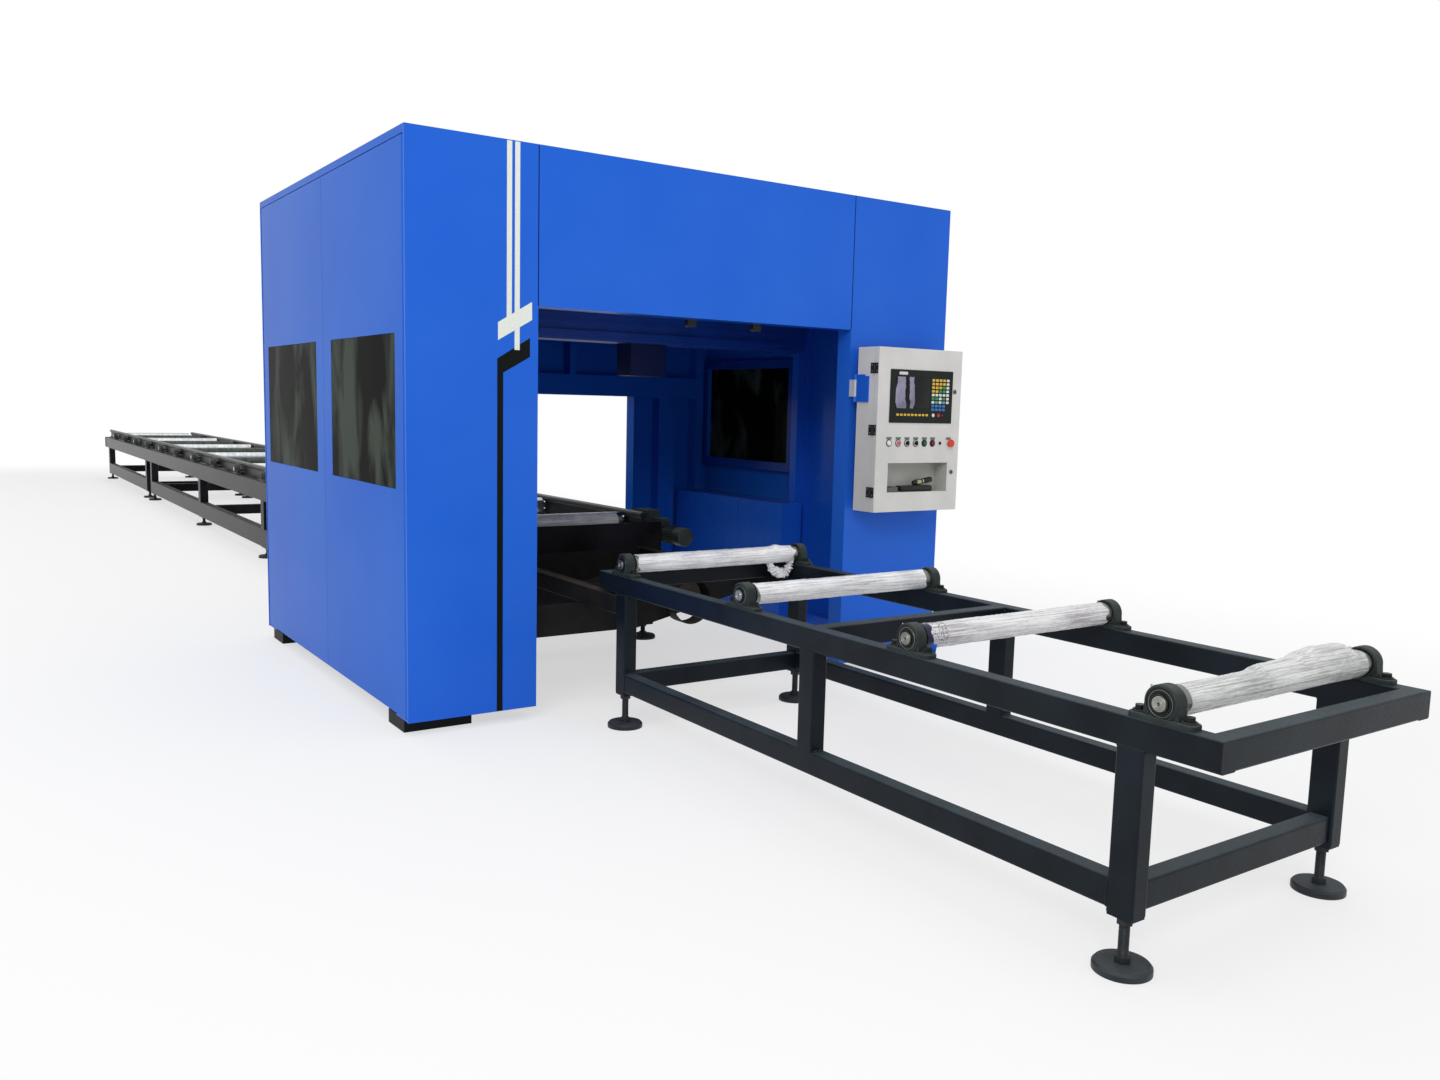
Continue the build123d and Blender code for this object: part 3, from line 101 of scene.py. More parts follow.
# Seams beside the header, from the top of the opening to above the roof.
seam_places = (-0.92, 0.83)
seam_half = 0.0026
opening_top = 1.805
above_roof = 3.0

# Buttons across the control door, the emergency stop, and the heights of the row and its legend plates.
button_places = (0.920, 0.983, 1.044, 1.105, 1.167, 1.225)
stop_place = 1.340
button_row = 1.236
legend_row = 1.2605


def linear(code):
    """sRGB hex code to linear red, green and blue with alpha 1."""
    srgb = np.array([int(code[i:i + 2], 16) for i in (1, 3, 5)]) / 255
    flat = np.where(srgb <= 0.04045, srgb / 12.92, ((srgb + 0.055) / 1.055) ** 2.4)
    return (*flat.tolist(), 1.0)


def add(tree, kind, inputs=None, **settings):
    """Add one shader node, set it, and give each named input a value or a link."""
    made = tree.nodes.new("ShaderNode" + kind)
    for name, value in settings.items():
        setattr(made, name, value)
    for name, value in (inputs or {}).items():
        if isinstance(value, bpy.types.NodeSocket):
            tree.links.new(value, made.inputs[name])
        else:
            made.inputs[name].default_value = value
    return made


def noise(tree, where, size, detail, **more):
    """Noise whose coarsest cells are about size wide."""
    made = add(tree, "TexNoise", {"Vector": where, "Scale": 1 / size, "Detail": detail, **more})
    return made.outputs["Fac"]


def stretched(tree, where, scale):
    """Coordinates, each scaled by its own factor."""
    return add(tree, "Mapping", {"Vector": where, "Scale": scale}).outputs[0]


def spread(tree, value, low, high, to_low=0.0, to_high=1.0, **settings):
    """The range from low to high carried onto to_low to to_high, and held at its ends."""
    return add(tree, "MapRange", {"Value": value, "From Min": low, "From Max": high, "To Min": to_low,
                                  "To Max": to_high}, **settings).outputs[0]


def maths(tree, operation, *values):
    """One operation on sockets or numbers."""
    return add(tree, "Math", dict(enumerate(values)), operation=operation).outputs[0]


def tint(tree, share, first, second):
    """The first colour, turning to the second as share goes to 1; each is a hex code or a socket."""
    first, second = (linear(end) if isinstance(end, str) else end for end in (first, second))
    return add(tree, "Mix", {0: share, 6: first, 7: second}, data_type="RGBA").outputs[2]


def between(tree, share, first, second):
    """The first number, turning to the second as share goes to 1."""
    return add(tree, "Mix", {0: share, 2: first, 3: second}).outputs[0]


def bump(tree, distance, height, strength=1.0, under=None):
    """Normal of a bump, laid over another bump's normal if one is given."""
    made = add(tree, "Bump", {"Strength": strength, "Distance": distance, "Height": height})
    if under is not None:
        tree.links.new(under, made.inputs["Normal"])
    return made.outputs["Normal"]


def start_finish(name, specular=0.5, metallic=0.0, coat=0.0, coat_roughness=0.1):
    """A new material; gives it, its tree, its surface node and its object coordinates."""
    material = bpy.data.materials.new(name)
    material.use_nodes = True
    tree = material.node_tree
    skin = tree.nodes["Principled BSDF"]
    for socket, value in (("Specular IOR Level", specular), ("Metallic", metallic), ("Coat Weight", coat),
                          ("Coat Roughness", coat_roughness)):
        skin.inputs[socket].default_value = value
    return material, tree, skin, add(tree, "TexCoord").outputs["Object"]


def dress(tree, skin, tone, rough, relief):
    """Link colour, roughness and normal to the surface node."""
    for name, value in (("Base Color", tone), ("Roughness", rough), ("Normal", relief)):
        tree.links.new(value, skin.inputs[name])


def inside(tree, where, limits):
    """1 where the object coordinates lie within the (low, high) of every axis in limits, else 0."""
    split = add(tree, "SeparateXYZ", {"Vector": where})
    bands = [maths(tree, "COMPARE", split.outputs[axis], (low + high) / 2, (high - low) / 2)
             for axis, (low, high) in limits.items()]
    mask = bands[0]
    for band in bands[1:]:
        mask = maths(tree, "MULTIPLY", band, mask)
    return mask


def area(colour, roughness, metallic=0.0, **limits):
    """Part of a surface with a finish of its own, within X, Y and Z limits in object coordinates."""
    return limits, colour, roughness, metallic


def painted(name, colour, shade, patch, grain, roughness, depth=0.0003, wave=0.5, wave_depth=0.0,
            specular=0.25, metallic=0.0, dust=0.0, dust_colour="#8C8880", areas=()):
    """Coated or plain metal and plastic.

    The colour drifts to its shade in patches, a fine grain gives bump and changes of gloss, a long
    wave bends the reflections of sheet, and dust lies on the faces that look up.
    """
    material, tree, skin, where = start_finish(name, specular, metallic)
    drift = noise(tree, where, patch, 5.0)
    grit = noise(tree, where, grain, 3.0)
    tone = tint(tree, spread(tree, drift, 0.35, 0.65), colour, shade)
    rough = spread(tree, grit, 0.3, 0.7, roughness * 0.85, roughness * 1.2)
    metal = metallic
    metal_varies = any(area_metallic != metallic for *_, area_metallic in areas)
    for limits, area_colour, area_roughness, area_metallic in areas:
        mask = inside(tree, where, limits)
        tone = tint(tree, mask, tone, area_colour)
        rough = between(tree, mask, rough, area_roughness)
        if metal_varies:
            metal = between(tree, mask, metal, area_metallic)
    if metal_varies:
        tree.links.new(metal, skin.inputs["Metallic"])
    if dust:
        normal = add(tree, "SeparateXYZ", {"Vector": where.node.outputs["Normal"]})
        upward = spread(tree, normal.outputs["Z"], 0.55, 0.95, 0.0, dust)
        lying = maths(tree, "MULTIPLY", upward, drift)
        tone = tint(tree, lying, tone, dust_colour)
        rough = maths(tree, "ADD", rough, lying)
    swell = bump(tree, wave_depth, noise(tree, where, wave, 1.0)) if wave_depth else None
    dress(tree, skin, tone, rough, bump(tree, depth, grit, under=swell))
    return material


def powder_blue(name, colour, shade, patch, roughness, **more):
    """Blue powder coat on sheet steel: gloss, with faint orange peel drawn 12 mm wide."""
    return painted(name, colour, shade, patch, grain=0.012, depth=0.00006, roughness=roughness, **more)


def plated(name, colour, shade, roughness, depth=0.0001, metallic=1.0, areas=()):
    """Plated or polished metal: tarnish in patches 20 mm wide, a fine grain drawn 3 mm wide."""
    return painted(name, colour, shade, patch=0.02, grain=0.003, roughness=roughness, depth=depth,
                   metallic=metallic, areas=areas)


def moulded(name, colour, shade, roughness=0.30, specular=0.25):
    """Injection-moulded plastic: even colour, a fine satin grain drawn 2 mm wide, a soft shine."""
    return painted(name, colour, shade, patch=0.01, grain=0.002, depth=0.0001, roughness=roughness,
                   specular=specular)


def turned(name, colour, shade, roughness, line):
    """Turned or ground steel: tool lines run round the axis Y, so tone and gloss change along Y.

    Patches of tarnish a few centimetres wide lie over the lines.
    """
    material, tree, skin, where = start_finish(name, metallic=1.0)
    ring = noise(tree, stretched(tree, where, (6.0, 1 / line, 6.0)), 1.0, 2.0)
    both = between(tree, 0.5, ring, noise(tree, where, 0.045, 4.0))
    tone = tint(tree, spread(tree, both, 0.38, 0.62), colour, shade)
    rough = spread(tree, both, 0.35, 0.65, roughness * 0.75, roughness * 1.25)
    dress(tree, skin, tone, rough, bump(tree, 0.0002, ring, 0.5))
    return material


def packing_film(name, colour, shade, speckle=0.0):
    """Polyethylene stretch film, wound tight: milky and shiny, with long streaks where the layers
    lap and trap air, drawn 4 mm wide, and fine crinkles across them, drawn 9 mm long. A speckle
    share gives the dark dirt drops of the soiled stretch.
    """
    material, tree, skin, where = start_finish(name, specular=0.5, coat=0.15, coat_roughness=0.08)
    streak = noise(tree, stretched(tree, where, (240.0, 5.0, 240.0)), 1.0, 6.0, Roughness=0.6)
    crinkle = noise(tree, stretched(tree, where, (60.0, 110.0, 60.0)), 1.0, 4.0, Distortion=0.8)
    patch = noise(tree, where, 0.14, 3.0)
    mixed = maths(tree, "MULTIPLY_ADD", patch, 0.3, streak)
    tone = tint(tree, spread(tree, mixed, 0.50, 0.78), shade, colour)
    if speckle:
        drops = spread(tree, noise(tree, where, 0.006, 1.0), 0.56, 0.61, 0.0, speckle)
        spots = maths(tree, "MULTIPLY", drops, inside(tree, where, {"Y": soiled_stretch}))
        tone = tint(tree, spots, tone, "#5B5170")
    rough = spread(tree, patch, 0.3, 0.7, 0.18, 0.42)
    fine = bump(tree, 0.0008, crinkle, 0.8)
    dress(tree, skin, tone, rough, bump(tree, 0.0010, streak, 0.9, fine))
    return material


def smoked_acrylic(name, colour, haze_and_reflection):
    """Cast acrylic sheet, smoked nearly black: a glassy skin with long waves, about 0.35 m apart, and upright
    grey drifts about 0.3 m wide and 0.75 m high, partly hazy dust and partly painted reflection.
    """
    material, tree, skin, where = start_finish(name, specular=0.005)
    drift = noise(tree, stretched(tree, where, (1 / 0.30, 1.0, 1 / 0.75)), 1.0, 4.0, Distortion=0.5)
    tone = tint(tree, spread(tree, drift, 0.48, 0.60), colour, haze_and_reflection)
    rough = spread(tree, noise(tree, where, 0.04, 4.0), 0.4, 0.7, 0.03, 0.10)
    dress(tree, skin, tone, rough, bump(tree, 0.002, noise(tree, where, 0.35, 1.0)))
    return material


def screen_glass(name, colour, reflection_colour, bands):
    """Dark display glass with painted reflection: upright lilac bands (middle, half width), their edges
    bent by up to 25 mm, where a reflection is painted into the colour."""
    material, tree, skin, where = start_finish(name, specular=0.12)
    across = add(tree, "SeparateXYZ", {"Vector": where}).outputs["Y"]
    slack = noise(tree, where, 0.07, 2.0)
    bent = maths(tree, "MULTIPLY_ADD", slack, 0.05, across)
    in_reflection_band = maths(tree, "MAXIMUM", *(maths(tree, "COMPARE", bent, *band) for band in bands))
    share = maths(tree, "MULTIPLY", in_reflection_band, spread(tree, slack, 0.3, 0.7, 0.55, 0.95))
    tone = tint(tree, share, colour, reflection_colour)
    rough = spread(tree, share, 0.0, 1.0, 0.06, 0.35)
    dress(tree, skin, tone, rough, bump(tree, 0.002, slack, 0.6))
    return material


def wear(names, finish):
    """Give the named CAD pieces a finish."""
    for name in names:
        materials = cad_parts[name].data.materials
        materials.clear()
        materials.append(finish)


# Cabin: blue powder coat with the slack of thin sheet, dark seams, black floor feet, smoked panes whose
# upright grey drifts are partly hazy dust and partly painted reflection.
seam_areas = [area("#0A2468", 0.6, Y=(y - seam_half, y + seam_half), Z=(opening_top, above_roof))
              for y in seam_places]
wear(["cabin_back", "cabin_roof", "door_left_front", "door_left_back", "door_right_back"],
     powder_blue("blue_powder_coat", "#1A63D0", "#226AD4", 0.8, 0.20, wave_depth=0.0025, specular=0.03,
                 dust=0.25))
wear(["cabin_front"],
     powder_blue("blue_powder_coat_front", "#2062D4", "#2969D8", 0.9, 0.20, wave_depth=0.0025, specular=0.12,
                 dust=0.25, areas=seam_areas))
wear(["side_frame_left", "side_frame_right"],
     powder_blue("blue_powder_coat_frame", "#1C60D4", "#2264D6", 0.5, 0.24, specular=0.12, dust=0.25,
                 areas=[area("#0E1012", 0.5, Z=(-0.01, 0.0601))]))
# The panes' upright grey drifts are partly hazy dust and partly painted reflection.
wear(["pane_left_front", "pane_left_back", "pane_right_back"],
     smoked_acrylic("smoked_acrylic", "#0A0D08", "#424A42"))

# Blue-black gloss enamel, sprayed on rolled tube: dull patches of overspray, and on the upper faces a lighter
# grey that is partly dust and partly painted sheen. The outfeed's far end is brown with primer. The side
# guides carry a painted highlight along the nose: a lighter, metallic grey band.
# On the infeed frame the upward dust is strong, so the tops come out lighter: dust and painted sheen.
frame_enamel = painted("blue_black_enamel", "#0B1218", "#151E26", patch=0.22, grain=0.010, roughness=0.34,
                       depth=0.0002, wave=0.12, wave_depth=0.0008, specular=0.14, dust=0.50,
                       dust_colour="#69767C")
wear(["infeed_frame"], frame_enamel)
wear(["outfeed_frame_near", "outfeed_frame_far"],
     painted("outfeed_enamel", "#121316", "#25252A", patch=0.30, grain=0.010, roughness=0.26, depth=0.0002,
             wave=0.15, wave_depth=0.0008, specular=0.05, dust=0.45, dust_colour="#6C6A66",
             areas=[area("#7A4E30", 0.7, X=(-9.90, -9.72))]))
# The guides' noses carry a painted highlight: a lighter, metallic grey band along the top.
wear(["guide_left", "guide_right"],
     painted("guide_enamel_nose_highlight", "#15181C", "#25272A", patch=0.35, grain=0.012, roughness=0.36, wave=0.2,
             wave_depth=0.0008, specular=0.12, dust=0.3, areas=[area("#5A5C5E", 0.32, 0.6, Z=(0.764, 0.80))]))

# Sand-cast iron under grey-green primer: sandy skin, drawn 4 mm wide. Outfeed blocks are greyer with dust.
wear(["pillow_blocks"],
     painted("cast_iron_primer", "#2A3332", "#1F2726", patch=0.05, grain=0.004, roughness=0.50, depth=0.0008,
             specular=0.2, dust=0.4, dust_colour="#7C827E", areas=[area("#3E4241", 0.55, X=(-9.9, 5.8))]))

# Oily black oxide on the hexagon bolts, blackened steel on the levelling feet.
wear(["bearing_bolts"],
     painted("black_oxide", "#0D0E10", "#17191B", patch=0.03, grain=0.005, roughness=0.42, metallic=0.2))
foot_steel = painted("blackened_foot_steel", "#23272B", "#33373B", patch=0.06, grain=0.006, roughness=0.45,
                     metallic=0.3, dust=0.5, dust_colour="#6C7276")
wear(["levelling_feet"], foot_steel)

# Ground roller tube and dull shafts. Every second outfeed roller is in dark steel.
infeed_rollers = [f"infeed_roller_{n}" for n in range(1, 5)]
outfeed_rollers = [f"outfeed_roller_{n:02d}" for n in range(1, 15)]
wear(infeed_rollers, turned("dull_shaft_steel", "#8E908C", "#6A6C69", 0.42, 0.006))
wear(outfeed_rollers, turned("ground_roller_steel", "#C9CBCD", "#A9ACAE", 0.32, 0.006))
wear(outfeed_rollers[2::2], turned("dark_roller_steel", "#4A504C", "#333835", 0.45, 0.006))

# Gearmotor: grey-green machine enamel on a cast housing.
wear(["gearmotor"],
     painted("motor_enamel", "#2C3431", "#3A4340", patch=0.08, grain=0.005, roughness=0.45, depth=0.0006,
             dust=0.7, dust_colour="#7D8580"))

# Cutting head: dark structure paint, a box under the beam in dark navy, partly its own dark paint and partly
# painted shade with a painted blue reflection, machined and brass faces, a scaled tray.
wear(["torch_carriage", "torch_swivel"],
     painted("head_structure_paint", "#1D2C4A", "#263757", patch=0.2, grain=0.010, roughness=0.42, dust=0.3))
# Below the beam the box's dark navy is its own dark paint with painted shade and a painted blue reflection.
wear(["gantry_beam"],
     painted("beam_structure_paint", "#1F4FB4", "#1A459F", patch=0.3, grain=0.010, roughness=0.40, dust=0.4,
             areas=[area("#0B1C55", 0.45, Z=(1.5, 1.7395))]))
wear(["torch_ram"],
     painted("milled_machine_steel", "#9EA2A5", "#7F8386", patch=0.05, grain=0.004, roughness=0.34,
             metallic=1.0))
wear(["torch_head"], plated("torch_brass", "#B08A45", "#8F6C32", 0.30, depth=0.0002))
wear(["slag_tray"],
     painted("scaled_tray_steel", "#121314", "#1D1C1B", patch=0.12, grain=0.008, roughness=0.62, depth=0.0008,
             specular=0.15, dust=0.5, dust_colour="#6D6257"))

# Control box: light grey fine-texture powder coat, darker in the pocket, where the darker grey is painted
# shade. Its bracket is blue, and its hinges are black zinc castings.
box_hinge_side = (0.70, 0.8345)
box_hinge_back = 6.9295
wear(["box_body", "box_door"],
     painted("grey_texture_coat", "#D9D8D5", "#D1D0CE", patch=0.15, grain=0.006, roughness=0.46, depth=0.0004,
             specular=0.4, wave=0.3, wave_depth=0.001, dust=0.12,
             # The pocket's darker grey is painted shade.
             areas=[area("#B6B7B1", 0.46, X=(6.86, 6.9955), Y=(0.919, 1.342), Z=(0.983, 1.135)),
                    area("#1C60D4", 0.34, Y=box_hinge_side, X=(6.70, box_hinge_back)),
                    area("#17191A", 0.5, Y=box_hinge_side, X=(box_hinge_back, 7.1))]))
wear(["hinge_block"],
     painted("grey_hinge_block", "#C9CCD2", "#BFC2C8", patch=0.05, grain=0.006, roughness=0.38))
wear(["cnc_unit"],
     painted("dark_panel_coat", "#1A211F", "#151B19", patch=0.08, grain=0.004, roughness=0.42, specular=0.15))
wear(["drive_plate"],
     painted("drive_plate_finish", "#A9ADB0", "#9A9EA1", patch=0.06, grain=0.006, roughness=0.40,
             metallic=0.9, areas=[area("#2B2E31", 0.5, X=(6.8565, 7.1))]))

# Chromed collars: the small port is black, the green and dark red buttons' collars take their colour.
wear(["button_collars"],
     plated("chromed_collar", "#CDCFD0", "#BBBDBF", 0.30, metallic=0.5,
            areas=[area("#0B0C0D", 0.5, Y=(1.2695, 1.2885)),
                   area("#0F3A28", 0.4, Y=(1.150, 1.184)),
                   area("#4A1426", 0.4, Y=(1.208, 1.242))]))
wear(["lock_upper", "lock_lower"], plated("worn_lock_steel", "#6E7174", "#585B5E", 0.32))
wear(["button_white"], moulded("moulded_white", "#ECEBE6", "#E2E0DA"))
wear(["button_red_lit"], moulded("moulded_lamp_red", "#D4626A", "#C8565E"))
wear(["emergency_stop"], moulded("moulded_signal_red", "#D8452F", "#CC3C29"))
wear(["button_dark_red"], moulded("moulded_dark_red", "#7C1C34", "#6C182C"))
wear(["button_green"], moulded("moulded_green", "#1A6343", "#155539"))
black_plastic = moulded("moulded_black", "#191A1B", "#222324", 0.38)
wear(["selector_left", "selector_right"], black_plastic)


def smooth_random(seed, rows, columns, cells):
    """Smooth field from -1 to 1 on a grid that wraps: random values on a coarse grid, eased between."""
    coarse = np.random.default_rng(seed).uniform(-1, 1, cells)

    def eased(count, cell_count):
        place = np.arange(count) * (cell_count / count)
        cell = np.floor(place).astype(int)
        return cell, (place - cell) ** 2 * (3 - 2 * (place - cell))

    def corner(i, j):
        return coarse[np.ix_((row + i) % cells[0], (column + j) % cells[1])]

    row, ease_down = eased(rows, cells[0])
    column, ease_across = eased(columns, cells[1])
    upper = corner(0, 0) * (1 - ease_across) + corner(0, 1) * ease_across
    lower = corner(1, 0) * (1 - ease_across) + corner(1, 1) * ease_across
    return upper * (1 - ease_down[:, None]) + lower * ease_down[:, None]


def linked(name, data):
    """A new object in the scene."""
    made = bpy.data.objects.new(name, data)
    bpy.context.scene.collection.objects.link(made)
    return made


def piece(name, grids, body, finish, closed=(False, True), caps=False, crease=40):
    """Mesh of one or more grids of points, shaped (copies, rows, columns, 3).

    Neighbouring points make four-sided faces. A closed direction meets its own start, and caps fill
    the first and last rows of a grid that is closed across.
    """
    grids = np.asarray(grids, float)
    if grids.ndim == 3:
        grids = grids[None]
    copies, rows, columns, _ = grids.shape
    row, column = np.meshgrid(np.arange(rows if closed[0] else rows - 1),
                              np.arange(columns if closed[1] else columns - 1), indexing="ij")
    next_row = (row + 1) % rows
    next_column = (column + 1) % columns
    corners = (row * columns + column, next_row * columns + column,
               next_row * columns + next_column, row * columns + next_column)
    faces = np.stack(corners, -1).reshape(-1, 4)
    shift = np.arange(copies) * rows * columns
    faces = (faces[None] + shift[:, None, None]).reshape(-1, 4).tolist()
    if caps:
        ring = np.arange(columns)
        faces += (ring[None] + shift[:, None]).tolist()
        faces += (ring[None, ::-1] + (rows - 1) * columns + shift[:, None]).tolist()
    mesh = bpy.data.meshes.new(name)
    mesh.from_pydata(grids.reshape(-1, 3).tolist(), [], faces)
    work = bmesh.new()
    work.from_mesh(mesh)
    bmesh.ops.remove_doubles(work, verts=work.verts, dist=1e-6)
    bmesh.ops.recalc_face_normals(work, faces=work.faces)
    work.to_mesh(mesh)
    work.free()
    mesh.polygons.foreach_set("use_smooth", np.ones(len(mesh.polygons), bool))
    mesh.set_sharp_from_angle(angle=math.radians(crease))
    mesh.materials.append(finish)
    made = linked(name, mesh)
    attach(made, body)


def rounded(width, height, corner, steps=4):
    """Outline of a rounded rectangle about its centre: four quarter circles and straight sides."""
    sweep = np.linspace(0, math.pi / 2, steps + 1)
    angle = np.arange(4)[:, None] * math.pi / 2 + sweep[None]
    middle_u = np.array([1, -1, -1, 1])[:, None] * (width / 2 - corner)
    middle_v = np.array([1, 1, -1, -1])[:, None] * (height / 2 - corner)
    outline = np.stack([middle_u + corner * np.cos(angle), middle_v + corner * np.sin(angle)], -1)
    return outline.reshape(-1, 2)


facing = {
    "+x": np.array([[0, 1, 0], [0, 0, 1], [1, 0, 0]], float),
    "+z": np.eye(3),
    "-x": np.array([[0, -1, 0], [0, 0, 1], [-1, 0, 0]], float),
}


def plate(name, outline, places, levels, finish, side="+x", body="control_door"):
    """A closed outline raised off a face: ring k stands levels[k][0] off the face and is drawn in by
    levels[k][1] on each side; one copy per place."""
    outline = np.asarray(outline, float)
    rings = np.stack([np.concatenate([outline - np.sign(outline) * np.minimum(np.abs(outline), inset),
                                      np.full((len(outline), 1), height)], 1)
                      for height, inset in levels])
    grids = np.asarray(places, float)[:, None, None] + rings[None] @ facing[side]
    piece(name, grids, body, finish, caps=True)


def revolved(profile, centres, axis=(0, 1, 0), steps=36):
    """A profile of (radius, offset along the axis), turned about that axis through each centre."""
    profile = np.asarray(profile, float)
    axis = np.asarray(axis, float) / np.linalg.norm(axis)
    across = np.cross(axis, (0, 0, 1) if abs(axis[2]) < 0.9 else (1, 0, 0))
    across /= np.linalg.norm(across)
    turn = np.linspace(0, 2 * math.pi, steps, endpoint=False)[:, None]
    ring = np.cos(turn) * across + np.sin(turn) * np.cross(axis, across)
    points = profile[:, None, :1] * ring[None] + profile[:, None, 1:] * axis
    return np.asarray(centres, float)[:, None, None] + points[None]


def mirrored(profile, sign):
    """The profile, or its mirror image along the axis where sign is -1."""
    return [(radius, sign * offset) for radius, offset in profile]


def lathe(name, profile, centres, body, finish, axis=(0, 1, 0), steps=36, crease=40, closed=True):
    """A turned piece: a closed profile makes rings, an open one ends on the axis."""
    piece(name, revolved(profile, centres, axis, steps), body, finish, closed=(closed, True), crease=crease)


def border(outer, inner, level, height):
    """A flat frame on a wall that faces -Y: outer and inner are (x0, x1, z0, z1), laid at y level,
    its front height off it with a small bevel on the outer edge."""
    bevel = 0.003
    rings = []
    for (x0, x1, z0, z1), lift, inset in ((outer, 0.0, 0.0), (outer, 0.8 * height, 0.0),
                                          (outer, height, bevel), (inner, height, 0.0), (inner, 0.0, 0.0)):
        corners = [(x0 + inset, z0 + inset), (x1 - inset, z0 + inset), (x1 - inset, z1 - inset),
                   (x0 + inset, z1 - inset)]
        rings.append([(x, level - lift, z) for x, z in corners])
    return np.asarray(rings)


def weld_beads(name, runs, finish, radius=0.0045, ripple=0.0010, pitch=0.008):
    """Fillet welds along straight runs: round bars whose radius swells once in each ripple pitch and
    falls off at both ends."""
    runs = np.asarray(runs, float)
    share = np.linspace(0, 1, 60)
    along = runs[:, 1] - runs[:, 0]
    length = np.linalg.norm(along, axis=1)
    across = np.cross(along, (1, 1, 1))
    across /= np.linalg.norm(across, axis=1)[:, None]
    other = np.cross(along / length[:, None], across)
    swell = radius + ripple * np.abs(np.sin(math.pi * share[None] * length[:, None] / pitch))
    swell = swell * np.minimum(1, 0.35 + 9 * np.minimum(share, 1 - share))[None]
    turn = np.linspace(0, 2 * math.pi, 8, endpoint=False)[None, :, None]
    ring = np.cos(turn) * across[:, None] + np.sin(turn) * other[:, None]
    centre = runs[:, None, 0] + along[:, None] * share[None, :, None]
    grid = centre[:, :, None] + swell[:, :, None, None] * ring[:, None]
    piece(name, grid, "machine", finish, caps=True, crease=60)


def axis_of(corners):
    """The axis of a roller's box in X and Z."""
    low, high = corners
    return (low.x + high.x) / 2, (low.z + high.z) / 2


def film_sleeve(name, roller, first, last, seed, finish, bulge=0.0, bulge_at=0.0, bulge_wide=0.1):
    """Film wound on a tube: radius = tube + layer + ridges along it + crinkles + the steps of its laps.

    The outer skin's ends are ragged, and the inner skin lies on the tube, so the sleeve is closed. A
    bulge adds a slack hump on the upper side near one end: it rises in two soft steps, leans over and
    falls off short of the end.
    """
    low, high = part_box(roller)
    radius = (high.x - low.x) / 2
    axis_x, axis_z = axis_of((low, high))
    steps = 230
    rounds = 110
    turn = np.linspace(0, 2 * math.pi, rounds, endpoint=False)[:, None]
    share = np.linspace(0, 1, steps)[None]
    edge = film_edge * smooth_random(seed, rounds, 2, cells=(11, 2))
    along = first + edge[:, :1] + (last - first + edge[:, 1:] - edge[:, :1]) * share
    ridge = 1 - np.abs(smooth_random(seed + 1, rounds, steps, cells=(44, 6)))
    broad = smooth_random(seed + 2, rounds, steps, cells=(9, 5))
    crinkle = smooth_random(seed + 3, rounds, steps, cells=(52, 70))
    lap = ((along - first) / film_lap_pitch + turn / (2 * math.pi)) % 1
    outer = (radius + film_lift + film_ridge * ridge ** 3 * (0.6 + 0.4 * broad) + film_crinkle * crinkle
             + film_lap_step * lap ** 8)
    if bulge:
        place = (along - bulge_at) / bulge_wide
        rise = sum(part / (1 + np.exp(-(place - step) / soft)) for part, step, soft in hump_steps)
        fall = 1 / (1 + np.exp((along - bulge_at - hump_end * bulge_wide) / film_fall))
        lean = np.clip(np.cos(turn + hump_lean), 0, 1) ** 0.8
        crease = (0.08 * smooth_random(seed + 4, rounds, steps, cells=(14, 24))
                  + 0.05 * smooth_random(seed + 5, rounds, steps, cells=(44, 12)))
        outer = outer + bulge * rise * fall * lean * (1 + crease)
    inner = np.full_like(outer, radius + film_skin_gap)
    skins = [np.stack([axis_x + skin * np.sin(turn), along, axis_z + skin * np.cos(turn)], -1)
             for skin in (outer, inner)]
    grid = np.concatenate([skins[0], skins[1][:, ::-1]], 1)
    piece(name, grid, roller, finish, closed=(True, True), crease=70)


def film_garland(name, roller, seed):
    """Torn film hanging in a loop: a flat closed profile, crumpled at random, carried along a sagging
    arc from under the tube to its end."""
    low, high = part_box(roller)
    axis_x, _ = axis_of((low, high))
    steps = 120
    rounds = 40
    share = np.linspace(0, 1, steps)[:, None]
    turn = np.linspace(0, 2 * math.pi, rounds, endpoint=False)[None]
    path_y = loop_start + loop_span * share
    path_z = low.z + loop_tuck - loop_sag * np.sin(math.pi * share) ** 0.6
    crumple = smooth_random(seed, steps, rounds, cells=(34, 9))
    fold = smooth_random(seed + 1, steps, rounds, cells=(60, 14))
    wide = (loop_half_width + loop_belly * np.sin(math.pi * share)) * (1 + 0.55 * crumple + 0.3 * fold)
    slope = np.arctan2(-loop_sag * math.pi * np.cos(math.pi * share), loop_span)
    across_x = wide * 1.2 * np.cos(turn)
    across_n = wide * np.sin(turn)
    grid = np.stack([axis_x + loop_drift * np.sin(3 * share) + across_x,
                     path_y - np.sin(slope) * across_n,
                     path_z + np.cos(slope) * across_n], -1)
    piece(name, grid, roller, white_film, caps=True, crease=70)


# Film from end to end of each roller, with the humps as (height, place, width).
white_film = packing_film("stretch_film", "#FBFBFC", "#B4B4BA")
soiled_film = packing_film("stretch_film_soiled", "#F4F3F4", "#A39FA4", speckle=0.85)
thin_film = packing_film("stretch_film_thin", "#E2E3E2", "#939594")
film_runs = [("infeed_roller_1", -0.583, 0.262, 11, white_film, (0.012, 0.180, 0.030)),
             ("infeed_roller_2", -0.588, 0.262, 12, white_film, ()),
             ("infeed_roller_3", -0.576, 0.262, 13, soiled_film, ()),
             ("infeed_roller_4", -0.583, 0.262, 14, thin_film, (0.032, 0.130, 0.380)),
             ("outfeed_roller_01", -0.60, 0.30, 15, white_film, ())]
for roller, first, last, seed, finish, hump in film_runs:
    film_sleeve("film_" + roller, roller, first, last, seed, finish, *hump)
film_garland("film_loop", "infeed_roller_1", 21)

